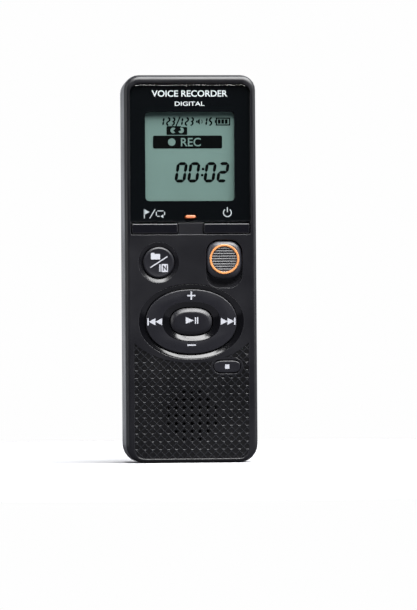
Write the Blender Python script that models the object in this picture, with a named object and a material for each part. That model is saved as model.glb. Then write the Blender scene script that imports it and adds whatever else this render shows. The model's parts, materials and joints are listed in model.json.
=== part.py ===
"""Pocket digital voice recorder: two covers, window, keys, record slide, speaker, board and two AAA cells.

Frame: metres, +Z up the length of the case, -Y out of the front face, +X to the right of someone
facing the display. The origin is the middle of the bottom end.
"""

import math

import bmesh
import bpy

MM = 0.001

# Cells that the case is built round
CELL_DIAMETER = 10.5 * MM
CELL_LENGTH = 44.5 * MM
CELL_PLAY = 0.3 * MM

# Overall case
BODY_WIDTH = 2 * CELL_DIAMETER + 15.8 * MM  # a screw boss and a wall beyond each cell
BODY_LENGTH = 108.0 * MM
FRONT_FACE_Y = -9.4 * MM
WALL = 1.5 * MM
TOP_CORNER_RADIUS = 4.2 * MM
BOTTOM_CORNER_RADIUS = 5.2 * MM
FRONT_EDGE_RADIUS = 1.5 * MM
BACK_EDGE_RADIUS = 3.5 * MM

# Clearances
TOUCH_GAP = 0.2 * MM  # between pieces that rest on each other
KEY_GAP = 0.25 * MM  # round a key, in its opening
KEY_TRAVEL = 0.3 * MM
KEY_REST_GAP = KEY_TRAVEL + 0.05 * MM  # from a key to the silicone behind it
SHELL_GAP = 0.2 * MM  # the groove between the two covers
CUT_PAST = 1.0 * MM  # how far a cutter runs past the face that it opens

# Depths, from the front face to the back face
KEY_SPACE = 3.3 * MM  # inside of the front wall to the board
BOARD_THICKNESS = 0.8 * MM
BOARD_TO_FLOOR = 0.5 * MM
BOARD_LOW_CORNER = 3.0 * MM
BOARD_HIGH_CORNER = 2.0 * MM
COMPARTMENT_WALL = 0.8 * MM
DOOR_THICKNESS = 1.4 * MM

INNER_FRONT_Y = FRONT_FACE_Y + WALL
BOARD_FRONT_Y = INNER_FRONT_Y + KEY_SPACE
BOARD_BACK_Y = BOARD_FRONT_Y + BOARD_THICKNESS
FLOOR_OUTER_Y = BOARD_BACK_Y + BOARD_TO_FLOOR
FLOOR_INNER_Y = FLOOR_OUTER_Y + COMPARTMENT_WALL
CELL_Y = FLOOR_INNER_Y + CELL_PLAY + CELL_DIAMETER / 2
DOOR_INNER_Y = CELL_Y + CELL_DIAMETER / 2 + CELL_PLAY
BACK_FACE_Y = DOOR_INNER_Y + DOOR_THICKNESS
INNER_BACK_Y = BACK_FACE_Y - WALL
HALF_WIDTH = BODY_WIDTH / 2
INNER_HALF_WIDTH = HALF_WIDTH - WALL

# Lip of the rear cover, inside the front cover's wall
LIP_HEIGHT = 1.1 * MM
LIP_THICKNESS = 0.65 * MM
LIP_GAP = 0.15 * MM
LIP_ROOT = 1.5 * MM
CAVITY_CORNER = 0.3 * MM

# Display window and display
RIM = 1.7 * MM  # face of the front cover round the window
WINDOW_TOP = 2.6 * MM  # from the top end
WINDOW_HEIGHT = 38.4 * MM
WINDOW_THICKNESS = 1.0 * MM
WINDOW_SINK = 0.2 * MM
WINDOW_CORNER = 2.4 * MM
WINDOW_LOW_CORNER = 0.5 * MM
WINDOW_EDGE_RADIUS = 0.3 * MM
LEDGE_THICKNESS = 1.0 * MM
VIEW_WIDTH = 25.0 * MM
VIEW_HEIGHT = 24.9 * MM
VIEW_TOP = 10.2 * MM
VIEW_CORNER = 1.2 * MM
PANEL_SIDE_MARGIN = 1.5 * MM
PANEL_TOP_MARGIN = 1.4 * MM
PANEL_BOTTOM_MARGIN = 2.3 * MM
PANEL_THICKNESS = 1.3 * MM
HOLDER_WALL = 0.6 * MM
STRIP_WIDTH = 1.2 * MM

# Record lamp
LAMP_WIDTH = 3.2 * MM
LAMP_HEIGHT = 1.0 * MM
LAMP_DEPTH = 39.5 * MM  # from the top end
LAMP_EDGE_RADIUS = 0.2 * MM
LAMP_PROUD = 0.1 * MM  # in front of the window
LAMP_CHIP = (1.6 * MM, 0.5 * MM, 0.8 * MM)

# Index and power keys, in a step below the window
STEP_TOP = 41.1 * MM
STEP_BOTTOM = 44.5 * MM
STEP_SINK = 0.5 * MM
STEP_CORNER = 0.2 * MM
BAR_TOP = 41.4 * MM
BAR_HEIGHT = 2.8 * MM
BAR_INNER_X = 3.6 * MM
BAR_SIDE_MARGIN = 0.4 * MM  # from the key's outer end to the inside of the side wall
BAR_PROUD = 0.45 * MM
BAR_CORNER = 0.4 * MM

# Folder key
FOLDER_X = -9.0 * MM
FOLDER_DEPTH = 52.2 * MM
FOLDER_RADIUS = 4.3 * MM
FOLDER_RECESS_RADIUS = 5.6 * MM
FOLDER_PROUD = 0.2 * MM

# Record slide
SLIDE_X = 9.3 * MM
SLIDE_DEPTH = 51.4 * MM  # its middle, when it is pushed up
SLIDE_WIDTH = 9.7 * MM
SLIDE_HEIGHT = 10.4 * MM
SLIDE_CORNER = 3.6 * MM
SLIDE_TRAVEL = 2.5 * MM
SLIDE_PROUD = 0.45 * MM
SLIDE_SHOULDER = 0.8 * MM
SLIDE_RING_RADIUS = 4.2 * MM
SLIDE_RING_WIDTH = 0.7 * MM
SLIDE_RING_PROUD = 0.15 * MM
SLIDE_GROOVE_DEPTH = 0.7 * MM
SLIDE_GROOVE_PLAY = 0.1 * MM
SLIDE_RIB_PITCH = 0.66 * MM
SLIDE_RIB_GAP = 0.32 * MM
SLIDE_RIB_DEPTH = 0.35 * MM
SLIDE_RIB_MARGIN = 0.4 * MM  # from the ring to the longest rib
SLIDE_PLATE_MARGIN = 0.55 * MM
SLIDE_PLATE_DROP = 2.9 * MM  # plate below the knob, to cover the slot
SLIDE_PLATE_CORNER = 3.0 * MM
SLIDE_PLATE_THICKNESS = 0.35 * MM
SWITCH_BODY = (6.6 * MM, 1.1 * MM, 8.4 * MM)
LEVER_SIDE = 1.2 * MM
LEVER_LENGTH = 1.1 * MM
LEVER_PLAY = 0.15 * MM
LEVER_LIFT = 0.1 * MM  # lever above the switch body

# Direction pad and play key
PAD_DEPTH = 68.7 * MM
PAD_HALF_X = 12.7 * MM
PAD_HALF_Z = 8.97 * MM
PAD_POWER = 2.1
PAD_RECESS_MARGIN = 1.6 * MM
PAD_PROUD = 0.15 * MM
PAD_HOLE_HALF_X = 6.1 * MM
PAD_HOLE_HALF_Z = 4.1 * MM
PAD_HOLE_RECESS = 1.3 * MM
PAD_FLANGE_THICKNESS = 0.5 * MM
PAD_TILT_GAP = 0.4 * MM  # flange to front wall, room for the tilt
ROCKER_HALF_X = 11.4 * MM
ROCKER_HALF_Z = 7.8 * MM
ROCKER_BAND = 1.7 * MM
ROCKER_THICKNESS = 0.25 * MM
PLAY_HALF_X = 5.75 * MM
PLAY_HALF_Z = 3.75 * MM
PLAY_POWER = 2.4
PLAY_PROUD = 0.3 * MM
PLAY_FLANGE_THICKNESS = 0.4 * MM

# Stop key
STOP_X = 9.9 * MM
STOP_BELOW_PAD = 12.6 * MM
STOP_WIDTH = 7.3 * MM
STOP_HEIGHT = 3.4 * MM
STOP_PROUD = 0.1 * MM

# Parts that the keys share
RECESS_DEPTH = 1.0 * MM
KEY_EDGE_RADIUS = 0.35 * MM
FLANGE_MARGIN = 0.8 * MM
FLANGE_THICKNESS = 0.6 * MM
MAT_THICKNESS = 0.4 * MM
MAT_TO_BOARD = 1.0 * MM
MAT_SIDE_GAP = 0.5 * MM
MAT_CORNER = 1.0 * MM
NUB_RADIUS = 1.0 * MM
NUB_LENGTH = 0.2 * MM
DOME_RADIUS = 2.0 * MM
DOME_HEIGHT = 0.25 * MM

# Speaker, behind the patterned lower panel
SPEAKER_Z = 13.2 * MM
SPEAKER_RADIUS = 8.0 * MM
SPEAKER_RING_WALL = 0.8 * MM
SPEAKER_RING_HEIGHT = 1.5 * MM
SPEAKER_RIM_BAND = 1.0 * MM
SPEAKER_RIM_THICKNESS = 0.6 * MM
GASKET_BAND = 1.2 * MM
CONE_FILM = 0.12 * MM
MAGNET_STEP = 0.2 * MM
GASKET_THICKNESS = 0.4 * MM
SPEAKER_DEPTH = 2.1 * MM
SPEAKER_FRAME_WALL = 0.5 * MM
CONE_RADIUS = 6.6 * MM
MAGNET_RADIUS = 4.2 * MM
MAGNET_THICKNESS = 0.7 * MM
HOLE_PITCH = 2.2 * MM
HOLE_HALF_WIDTH = 0.55 * MM
HOLE_COUNTS = (3, 5, 7, 7, 7, 5, 3)
PATTERN_SINK = 0.45 * MM
PATTERN_MARGIN = 2.4 * MM  # from the body's outline
PATTERN_ARC_X = 18.6 * MM
PATTERN_ARC_Z = 11.5 * MM
PATTERN_ISLAND = 0.6 * MM
WIRE_RADIUS = 0.35 * MM
WIRE_RUN = 3.4 * MM
WIRE_X = 3.0 * MM
WIRE_BOW = 0.5 * MM

# Screws and their bosses
BOSS_SIDE = 4.1 * MM  # from the body's side
BOSS_TOP = 5.4 * MM
BOSS_BOTTOM = 7.5 * MM
FRONT_BOSS_RADIUS = 2.0 * MM
REAR_BOSS_RADIUS = 2.3 * MM
SCREW_RADIUS = 0.8 * MM
SCREW_HEAD_RADIUS = 1.5 * MM
SCREW_HEAD_HEIGHT = 1.0 * MM
SCREW_LENGTH = 10.5 * MM
HEAD_SEAT = 3.6 * MM  # below the back face
BOARD_BOSS_RADIUS = 1.7 * MM
BOARD_SCREW_RADIUS = 0.6 * MM
BOARD_SCREW_HEAD = 1.2 * MM
BOARD_SCREW_LENGTH = 2.6 * MM
BOARD_SCREW_HEAD_HEIGHT = 0.7 * MM
BOARD_SCREW_BELOW_TOP = (5.8 * MM, 47.0 * MM)
CROSS_WIDTH = 0.4 * MM
CROSS_DEPTH = 0.5 * MM
CROSS_STEP = 0.05 * MM  # between the depths of the two slots
SCREW_POINT = 0.7  # end of the thread, as a share of its radius
SCREW_CROWN = 0.7  # top of the head, as a share of its radius
SCREW_HEAD_WALL = 0.6  # straight part of the head, as a share of its height

# Sockets and microphone at the top end
JACK_X = 8.9 * MM
JACK_WIDTH = 5.6 * MM
JACK_BODY_DEPTH = 6.0 * MM
JACK_BODY_LENGTH = 13.3 * MM
JACK_BELOW_TOP = 2.7 * MM
JACK_NOSE_RADIUS = 2.5 * MM
JACK_BORE_RADIUS = 1.8 * MM
JACK_PROUD = 0.35 * MM
JACK_NOSE_GAP = 0.2 * MM
JACK_CORNER = 0.4 * MM
MIC_RADIUS = 3.0 * MM
MIC_LENGTH = 2.7 * MM
MIC_GAP = 0.15 * MM
BOOT_RADIUS = 3.7 * MM
BOOT_LENGTH = 4.0 * MM
BOOT_BELOW_TOP = 2.7 * MM
BOOT_NOSE_RADIUS = 1.3 * MM
BOOT_ROOF = 0.8 * MM
SOUND_CHANNEL_RADIUS = 0.7 * MM
MIC_HOLE_RADIUS = 0.4 * MM
MIC_HOLE_PITCH = 1.3 * MM

# Micro USB socket in the right side
USB_BELOW_TOP = 35.0 * MM
USB_WIDTH = 7.4 * MM
USB_HEIGHT = 2.5 * MM
USB_DEPTH = 5.2 * MM
USB_SINK = 0.3 * MM
USB_SHELL = 0.3 * MM
USB_GAP = 0.25 * MM
USB_CORNER = 0.5 * MM
USB_TONGUE = (3.8 * MM, 4.6 * MM, 0.7 * MM)
USB_TO_LIP = 0.35 * MM

# Battery compartment, cells, contacts and door
CELL_SIDE_GAP = 0.2 * MM
COMPARTMENT_BOTTOM = 5.0 * MM
COMPARTMENT_SIDE_WALL = 0.9 * MM
CONTACT_THICKNESS = 0.4 * MM
SPRING_LENGTH = 3.7 * MM
SPRING_WIRE_RADIUS = 0.25 * MM
SPRING_TURNS = 3.5
SPRING_WIDE_RADIUS = 3.0 * MM
SPRING_NARROW_RADIUS = 1.9 * MM
CELL_BUTTON_RADIUS = 1.9 * MM
CELL_BUTTON_HEIGHT = 1.0 * MM
CELL_EDGE_RADIUS = 0.5 * MM
CONTACT_HEIGHT = 8.0 * MM
CONTACT_SIDE_GAP = 0.5 * MM
CONTACT_LEG_WIDTH = 2.0 * MM
DOOR_SIDE_MARGIN = 1.0 * MM  # door past the compartment, each side
DOOR_GAP = 0.2 * MM
DOOR_BOTTOM_MARGIN = 0.8 * MM
DOOR_CORNER = 1.0 * MM
SHOULDER_THICKNESS = 1.2 * MM
HINGE_RADIUS = 1.5 * MM  # of the door's barrel
HINGE_ABOVE = 1.6 * MM  # axis above the compartment
HINGE_BLOCK_WALL = 0.8 * MM
PIN_RADIUS = 0.5 * MM
PIN_CLEARANCE = 0.08 * MM
PIN_SEAT = 0.8 * MM
GRIP_COUNT = 4
GRIP_PITCH = 1.3 * MM
GRIP_SIZE = (9.0 * MM, 0.3 * MM, 0.6 * MM)
GRIP_START = 4.0 * MM  # from the door's lower end
NOTCH_HALF_WIDTH = 4.6 * MM
NOTCH_HALF_HEIGHT = 1.9 * MM
NOTCH_DEPTH = 0.9 * MM
NOTCH_SLOPE = 1.4 * MM
JOIN_STEP = 0.1 * MM  # keeps the faces of joined blocks apart

# Heights and places that several pieces share
WINDOW_TOP_Z = BODY_LENGTH - WINDOW_TOP
WINDOW_BOTTOM_Z = WINDOW_TOP_Z - WINDOW_HEIGHT
WINDOW_HALF_WIDTH = HALF_WIDTH - RIM
WINDOW_FRONT_Y = FRONT_FACE_Y + WINDOW_SINK
LEDGE_FRONT_Y = WINDOW_FRONT_Y + WINDOW_THICKNESS + TOUCH_GAP
LEDGE_BACK_Y = LEDGE_FRONT_Y + LEDGE_THICKNESS
VIEW_TOP_Z = BODY_LENGTH - VIEW_TOP
VIEW_BOTTOM_Z = VIEW_TOP_Z - VIEW_HEIGHT
PANEL_TOP_Z = VIEW_TOP_Z + PANEL_TOP_MARGIN
PANEL_BOTTOM_Z = VIEW_BOTTOM_Z - PANEL_BOTTOM_MARGIN
PANEL_HALF_WIDTH = VIEW_WIDTH / 2 + PANEL_SIDE_MARGIN
PANEL_FRONT_Y = LEDGE_BACK_Y + TOUCH_GAP
PANEL_BACK_Y = PANEL_FRONT_Y + PANEL_THICKNESS
LAMP_Z = BODY_LENGTH - LAMP_DEPTH
BAR_OUTER_X = INNER_HALF_WIDTH - BAR_SIDE_MARGIN
BAR_Z = BODY_LENGTH - BAR_TOP - BAR_HEIGHT / 2
FOLDER_Z = BODY_LENGTH - FOLDER_DEPTH
SLIDE_Z = BODY_LENGTH - SLIDE_DEPTH
PAD_Z = BODY_LENGTH - PAD_DEPTH
STOP_Z = PAD_Z - STOP_BELOW_PAD
FLANGE_FRONT_Y = INNER_FRONT_Y + TOUCH_GAP
FLANGE_BACK_Y = FLANGE_FRONT_Y + FLANGE_THICKNESS
PAD_FLANGE_FRONT_Y = INNER_FRONT_Y + PAD_TILT_GAP
PAD_BACK_Y = PAD_FLANGE_FRONT_Y + PAD_FLANGE_THICKNESS
ROCKER_FRONT_Y = PAD_BACK_Y + PAD_TILT_GAP
MAT_BACK_Y = BOARD_FRONT_Y - MAT_TO_BOARD
MAT_FRONT_Y = MAT_BACK_Y - MAT_THICKNESS
SLIDE_PLATE_BACK_Y = MAT_FRONT_Y - TOUCH_GAP
SLIDE_PLATE_FRONT_Y = SLIDE_PLATE_BACK_Y - SLIDE_PLATE_THICKNESS
PLAY_FLANGE_BACK_Y = MAT_FRONT_Y - KEY_REST_GAP
PLAY_FLANGE_FRONT_Y = PLAY_FLANGE_BACK_Y - PLAY_FLANGE_THICKNESS
BOARD_HALF_WIDTH = INNER_HALF_WIDTH - 0.6 * MM
BOARD_BOTTOM_Z = WALL + 1.7 * MM
BOARD_TOP_Z = BODY_LENGTH - WALL - 1.9 * MM
BOSS_X = HALF_WIDTH - BOSS_SIDE
BOSS_TOP_Z = BODY_LENGTH - BOSS_TOP
CELL_X = (CELL_DIAMETER + CELL_SIDE_GAP) / 2
COMPARTMENT_HALF_WIDTH = CELL_X + CELL_DIAMETER / 2 + CELL_PLAY / 2
CONTACT_STACK = TOUCH_GAP + CONTACT_THICKNESS + TOUCH_GAP
COMPARTMENT_TOP = (
    COMPARTMENT_BOTTOM + 2 * CONTACT_STACK + SPRING_LENGTH + TOUCH_GAP + CELL_LENGTH
)
DOOR_HALF_WIDTH = COMPARTMENT_HALF_WIDTH + DOOR_SIDE_MARGIN
DOOR_BOTTOM_Z = COMPARTMENT_BOTTOM - DOOR_BOTTOM_MARGIN
HINGE_Y = BACK_FACE_Y - HINGE_RADIUS
HINGE_Z = COMPARTMENT_TOP + HINGE_ABOVE
USB_Z = BODY_LENGTH - USB_BELOW_TOP
USB_Y = BOARD_BACK_Y + TOUCH_GAP + USB_HEIGHT / 2
PART_LINE_Y = USB_Y + USB_HEIGHT / 2 + USB_GAP + USB_TO_LIP + LIP_HEIGHT
BOSS_MEET_Y = PART_LINE_Y - 1.6 * MM
JACK_Y = BOARD_BACK_Y + TOUCH_GAP + 0.1 * MM + JACK_BODY_DEPTH / 2
MIC_Y = INNER_BACK_Y - BOOT_RADIUS - 0.5 * MM
SPEAKER_FRONT_Y = INNER_FRONT_Y + 2 * TOUCH_GAP + GASKET_THICKNESS
SPEAKER_BACK_Y = SPEAKER_FRONT_Y + SPEAKER_DEPTH

DOME_PLACES = {
    "dome_index": (-(BAR_INNER_X + BAR_OUTER_X) / 2, BAR_Z),
    "dome_power": ((BAR_INNER_X + BAR_OUTER_X) / 2, BAR_Z),
    "dome_folder": (FOLDER_X, FOLDER_Z),
    "dome_stop": (STOP_X, STOP_Z),
    "dome_play": (0, PAD_Z),
    "dome_plus": (0, PAD_Z + ROCKER_HALF_Z - ROCKER_BAND / 2),
    "dome_minus": (0, PAD_Z - ROCKER_HALF_Z + ROCKER_BAND / 2),
    "dome_back": (-ROCKER_HALF_X + ROCKER_BAND / 2, PAD_Z),
    "dome_forward": (ROCKER_HALF_X - ROCKER_BAND / 2, PAD_Z),
}


# Outlines: lists of (u, v) points, anticlockwise, that a loft sets along one axis


def rounded_box(half_width, low, high, low_radius, high_radius, inset=0.0, steps=6):
    """A rectangle with its own radius at the low corners and at the high ones, drawn in by inset."""
    half = half_width - inset
    low, high = low + inset, high - inset
    low_radius = max(low_radius - inset, 0.1 * MM)
    high_radius = max(high_radius - inset, 0.1 * MM)
    corners = (
        (half - high_radius, high - high_radius, high_radius, 0),
        (-half + high_radius, high - high_radius, high_radius, 1),
        (-half + low_radius, low + low_radius, low_radius, 2),
        (half - low_radius, low + low_radius, low_radius, 3),
    )
    points = []
    for u, v, radius, quarter in corners:
        for step in range(steps + 1):
            angle = math.radians(90) * (quarter + step / steps)
            points.append((u + radius * math.cos(angle), v + radius * math.sin(angle)))
    return points


def body_outline(inset):
    return rounded_box(
        HALF_WIDTH, 0, BODY_LENGTH, BOTTOM_CORNER_RADIUS, TOP_CORNER_RADIUS, inset
    )


def box_outline(half_u, half_v, radius=0.1 * MM, inset=0.0, steps=1):
    return rounded_box(half_u, -half_v, half_v, radius, radius, inset, steps)


def stadium(half_u, half_v, inset=0.0):
    return rounded_box(half_u, -half_v, half_v, half_v, half_v, inset, steps=8)


def super_ellipse(half_u, half_v, power, inset=0.0, count=40):
    points = []
    for step in range(count):
        angle = 2 * math.pi * step / count
        c, s = math.cos(angle), math.sin(angle)
        points.append(
            (
                (half_u - inset) * math.copysign(abs(c) ** (2 / power), c),
                (half_v - inset) * math.copysign(abs(s) ** (2 / power), s),
            )
        )
    return points


def circle(radius, count=24):
    return super_ellipse(radius, radius, 2, count=count)


def moved(outline, u, v):
    return [(a + u, b + v) for a, b in outline]


# Meshes


def place(u, v, along, axis):
    """The 3D point of outline point (u, v) at a position along an axis."""
    if axis == "X":
        return (along, u, v)
    if axis == "Y":
        return (u, along, v)
    return (u, v, along)


def new_object(name, mesh_maker, finish=None, at=(0, 0, 0)):
    mesh = bpy.data.meshes.new(name)
    shape = bmesh.new()
    mesh_maker(shape)
    bmesh.ops.recalc_face_normals(shape, faces=shape.faces)
    shape.to_mesh(mesh)
    shape.free()
    obj = bpy.data.objects.new(name, mesh)
    bpy.context.scene.collection.objects.link(obj)
    obj.location = at
    if finish is not None:
        mesh.materials.append(finish)
    return obj


def skin(shape, rings, closed_loop=False):
    """Quads between neighbouring rings of vertices. An open run of rings gets an end face on each."""
    pairs = list(zip(rings, rings[1:]))
    if closed_loop:
        pairs.append((rings[-1], rings[0]))
    else:
        shape.faces.new(rings[0])
        shape.faces.new(rings[-1])
    for first, second in pairs:
        count = len(first)
        for i in range(count):
            j = (i + 1) % count
            shape.faces.new((first[i], first[j], second[j], second[i]))


def add_loft(shape, layers, axis="Y"):
    """One closed body through layers of (position, outline), whose outlines have as many points each."""
    rings = [
        [shape.verts.new(place(u, v, along, axis)) for u, v in outline]
        for along, outline in layers
    ]
    skin(shape, rings)


def loft(name, layers, finish=None, axis="Y", at=(0, 0, 0)):
    return new_object(name, lambda shape: add_loft(shape, layers, axis), finish, at)


def ring_loft(name, outer_layers, inner_layers, finish=None, axis="Y", at=(0, 0, 0)):
    """A closed band: out along the outer layers, and back along the inner ones."""
    layers = list(outer_layers) + list(reversed(inner_layers))

    def make(shape):
        rings = [
            [shape.verts.new(place(u, v, along, axis)) for u, v in outline]
            for along, outline in layers
        ]
        skin(shape, rings, closed_loop=True)

    return new_object(name, make, finish, at)


def boxes(name, sizes_and_centres, finish=None, at=(0, 0, 0)):
    """Separate plain boxes in one object, each as ((x, y, z) sizes, (x, y, z) centre)."""

    def make(shape):
        for size, centre in sizes_and_centres:
            x, y, z = (side / 2 for side in size)
            outline = [(x, z), (-x, z), (-x, -z), (x, -z)]
            outline = moved(outline, centre[0], centre[2])
            add_loft(shape, [(centre[1] - y, outline), (centre[1] + y, outline)])

    return new_object(name, make, finish, at)


def rods(name, radius, ends, axis="Y", count=20, finish=None):
    """Separate cylinders of one radius in one object, each as (u, v, from, to)."""

    def make(shape):
        for u, v, start, end in ends:
            outline = moved(circle(radius, count), u, v)
            add_loft(shape, [(start, outline), (end, outline)], axis)

    return new_object(name, make, finish)


def wire(name, points, radius, finish, resolution=2):
    """A round wire with flat ends along the points."""
    curve = bpy.data.curves.new(name, "CURVE")
    curve.dimensions = "3D"
    curve.bevel_depth = radius
    curve.bevel_resolution = resolution
    curve.use_fill_caps = True
    spline = curve.splines.new("POLY")
    spline.points.add(len(points) - 1)
    for point, place_of in zip(spline.points, points):
        point.co = (*place_of, 1)
    curve.materials.append(finish)
    obj = bpy.data.objects.new(name, curve)
    bpy.context.scene.collection.objects.link(obj)
    return obj


def edge_layers(outline_at, edge_y, radius, inward, steps=3):
    """Layers that round an edge: from the flat face at edge_y to the full outline, radius further in."""
    layers = []
    for step in range(steps + 1):
        angle = math.radians(90) * step / steps
        inset = radius * (1 - math.sin(angle))
        layers.append((edge_y + inward * radius * (1 - math.cos(angle)), outline_at(inset)))
    return layers


# Booleans and finish


def combine(target, tool, operation):
    tool.hide_render = True
    tool.display_type = "WIRE"
    modifier = target.modifiers.new(tool.name, "BOOLEAN")
    modifier.operation = operation
    modifier.object = tool
    modifier.solver = "EXACT"


def cut(target, *tools):
    for tool in tools:
        combine(target, tool, "DIFFERENCE")


def join(target, *tools):
    for tool in tools:
        combine(target, tool, "UNION")


def smooth(obj, angle=35):
    obj.data.shade_smooth()
    obj.data.set_sharp_from_angle(angle=math.radians(angle))


def finish_of(name, colour, roughness, metallic=0.0):
    material = bpy.data.materials.new(name)
    material.use_nodes = True
    principled = material.node_tree.nodes["Principled BSDF"]
    principled.inputs["Base Color"].default_value = (*colour, 1)
    principled.inputs["Roughness"].default_value = roughness
    principled.inputs["Metallic"].default_value = metallic
    return material


def make_finishes():
    return {
        "case": finish_of("case_plastic", (0.022, 0.022, 0.027), 0.5),
        "keys": finish_of("key_plastic", (0.03, 0.03, 0.037), 0.45),
        "gloss": finish_of("gloss_plastic", (0.012, 0.013, 0.018), 0.12),
        "window": finish_of("window_acrylic", (0.004, 0.005, 0.007), 0.05),
        "display": finish_of("display_glass", (0.18, 0.28, 0.25), 0.2),
        "orange": finish_of("orange_plastic", (0.85, 0.33, 0.1), 0.35),
        "rubber": finish_of("silicone", (0.15, 0.15, 0.16), 0.8),
        "board": finish_of("circuit_board", (0.01, 0.12, 0.05), 0.4),
        "chip": finish_of("chip_epoxy", (0.015, 0.015, 0.016), 0.6),
        "steel": finish_of("steel", (0.6, 0.6, 0.6), 0.3, 1.0),
        "cone": finish_of("speaker_film", (0.05, 0.05, 0.05), 0.4),
        "cell": finish_of("cell_wrap", (0.08, 0.1, 0.14), 0.35),
        "red": finish_of("red_wire", (0.5, 0.02, 0.02), 0.5),
        "black": finish_of("black_wire", (0.01, 0.01, 0.01), 0.5),
    }


# Front cover and window


def window_outline(inset):
    return rounded_box(
        WINDOW_HALF_WIDTH,
        WINDOW_BOTTOM_Z,
        WINDOW_TOP_Z,
        WINDOW_LOW_CORNER,
        WINDOW_CORNER,
        inset,
    )


def lamp_outline(inset):
    return moved(stadium(LAMP_WIDTH / 2, LAMP_HEIGHT / 2, inset), 0, LAMP_Z)


def slot_tool(name, outline, start, end):
    return loft(name, [(start, outline), (end, outline)])


def countersink(name, outline_at, centre, recess, back_y):
    """A dished recess from the front face down to an opening that runs on to back_y."""
    wide, narrow = outline_at(-recess), outline_at(0)
    layers = [
        (FRONT_FACE_Y - CUT_PAST, outline_at(-recess - CUT_PAST)),
        (FRONT_FACE_Y, wide),
        (FRONT_FACE_Y + RECESS_DEPTH, narrow),
        (back_y, narrow),
    ]
    layers = [(y, moved(outline, *centre)) for y, outline in layers]
    return loft(name, layers)


def pattern_outline():
    """The patterned panel: the body's outline drawn in, with an elliptical bay round the pad on top."""
    side = HALF_WIDTH - PATTERN_MARGIN
    radius = BOTTOM_CORNER_RADIUS - PATTERN_MARGIN
    points = []
    for u, quarter in ((-side + radius, 2), (side - radius, 3)):
        for step in range(7):
            angle = math.radians(90) * (quarter + step / 6)
            points.append(
                (u + radius * math.cos(angle), PATTERN_MARGIN / 2 + radius * (1 + math.sin(angle)))
            )
    arc_steps = 24
    reach = math.asin(min(side / PATTERN_ARC_X, 1.0))
    for step in range(arc_steps + 1):
        angle = reach * (1 - 2 * step / arc_steps)
        points.append(
            (PATTERN_ARC_X * math.sin(angle), PAD_Z - PATTERN_ARC_Z * math.cos(angle))
        )
    return points


def speaker_hole_places():
    places = []
    for row, count in enumerate(HOLE_COUNTS):
        z = SPEAKER_Z + HOLE_PITCH * ((len(HOLE_COUNTS) - 1) / 2 - row)
        for column in range(count):
            places.append((HOLE_PITCH * (column - (count - 1) / 2), z))
    return places


def boss_places():
    return [(side * BOSS_X, z) for side in (-1, 1) for z in (BOSS_BOTTOM, BOSS_TOP_Z)]


def board_boss_places():
    return [(0, BODY_LENGTH - below) for below in BOARD_SCREW_BELOW_TOP]


def jack_tool(name):
    ends = [
        (side * JACK_X, JACK_Y, BODY_LENGTH - JACK_BELOW_TOP - CUT_PAST, BODY_LENGTH + CUT_PAST)
        for side in (-1, 1)
    ]
    return rods(name, JACK_NOSE_RADIUS + JACK_NOSE_GAP, ends, axis="Z")


def front_cover_body(finishes):
    layers = edge_layers(body_outline, FRONT_FACE_Y, FRONT_EDGE_RADIUS, 1, steps=4)
    rim_y = PART_LINE_Y - SHELL_GAP / 2
    layers += [(rim_y, body_outline(0)), (rim_y, body_outline(WALL))]
    layers.append((LEDGE_BACK_Y, body_outline(WALL)))
    cover = loft("front_cover", layers, finishes["case"])
    lower_top = BODY_LENGTH - STEP_TOP
    lower = rounded_box(
        INNER_HALF_WIDTH - TOUCH_GAP,
        WALL + TOUCH_GAP,
        lower_top,
        BOTTOM_CORNER_RADIUS - WALL,
        CAVITY_CORNER,
        steps=5,
    )
    cut(cover, slot_tool("key_cavity", lower, INNER_FRONT_Y, LEDGE_BACK_Y + CUT_PAST))
    bosses = [(x, z, INNER_FRONT_Y - WALL / 2, BOSS_MEET_Y) for x, z in boss_places()]
    join(cover, rods("front_bosses", FRONT_BOSS_RADIUS, bosses, count=16))
    board_bosses = [
        (x, z, INNER_FRONT_Y - WALL / 2, BOARD_FRONT_Y - TOUCH_GAP)
        for x, z in board_boss_places()
    ]
    join(cover, rods("board_bosses", BOARD_BOSS_RADIUS, board_bosses, count=14))
    ring_inner = moved(circle(SPEAKER_RADIUS + 2 * TOUCH_GAP, 28), 0, SPEAKER_Z)
    ring_outer = moved(
        circle(SPEAKER_RADIUS + 2 * TOUCH_GAP + SPEAKER_RING_WALL, 28), 0, SPEAKER_Z
    )
    ends = (INNER_FRONT_Y - WALL / 3, INNER_FRONT_Y + SPEAKER_RING_HEIGHT)
    ring = ring_loft(
        "speaker_ring", [(y, ring_outer) for y in ends], [(y, ring_inner) for y in ends]
    )
    join(cover, ring)
    return cover


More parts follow.
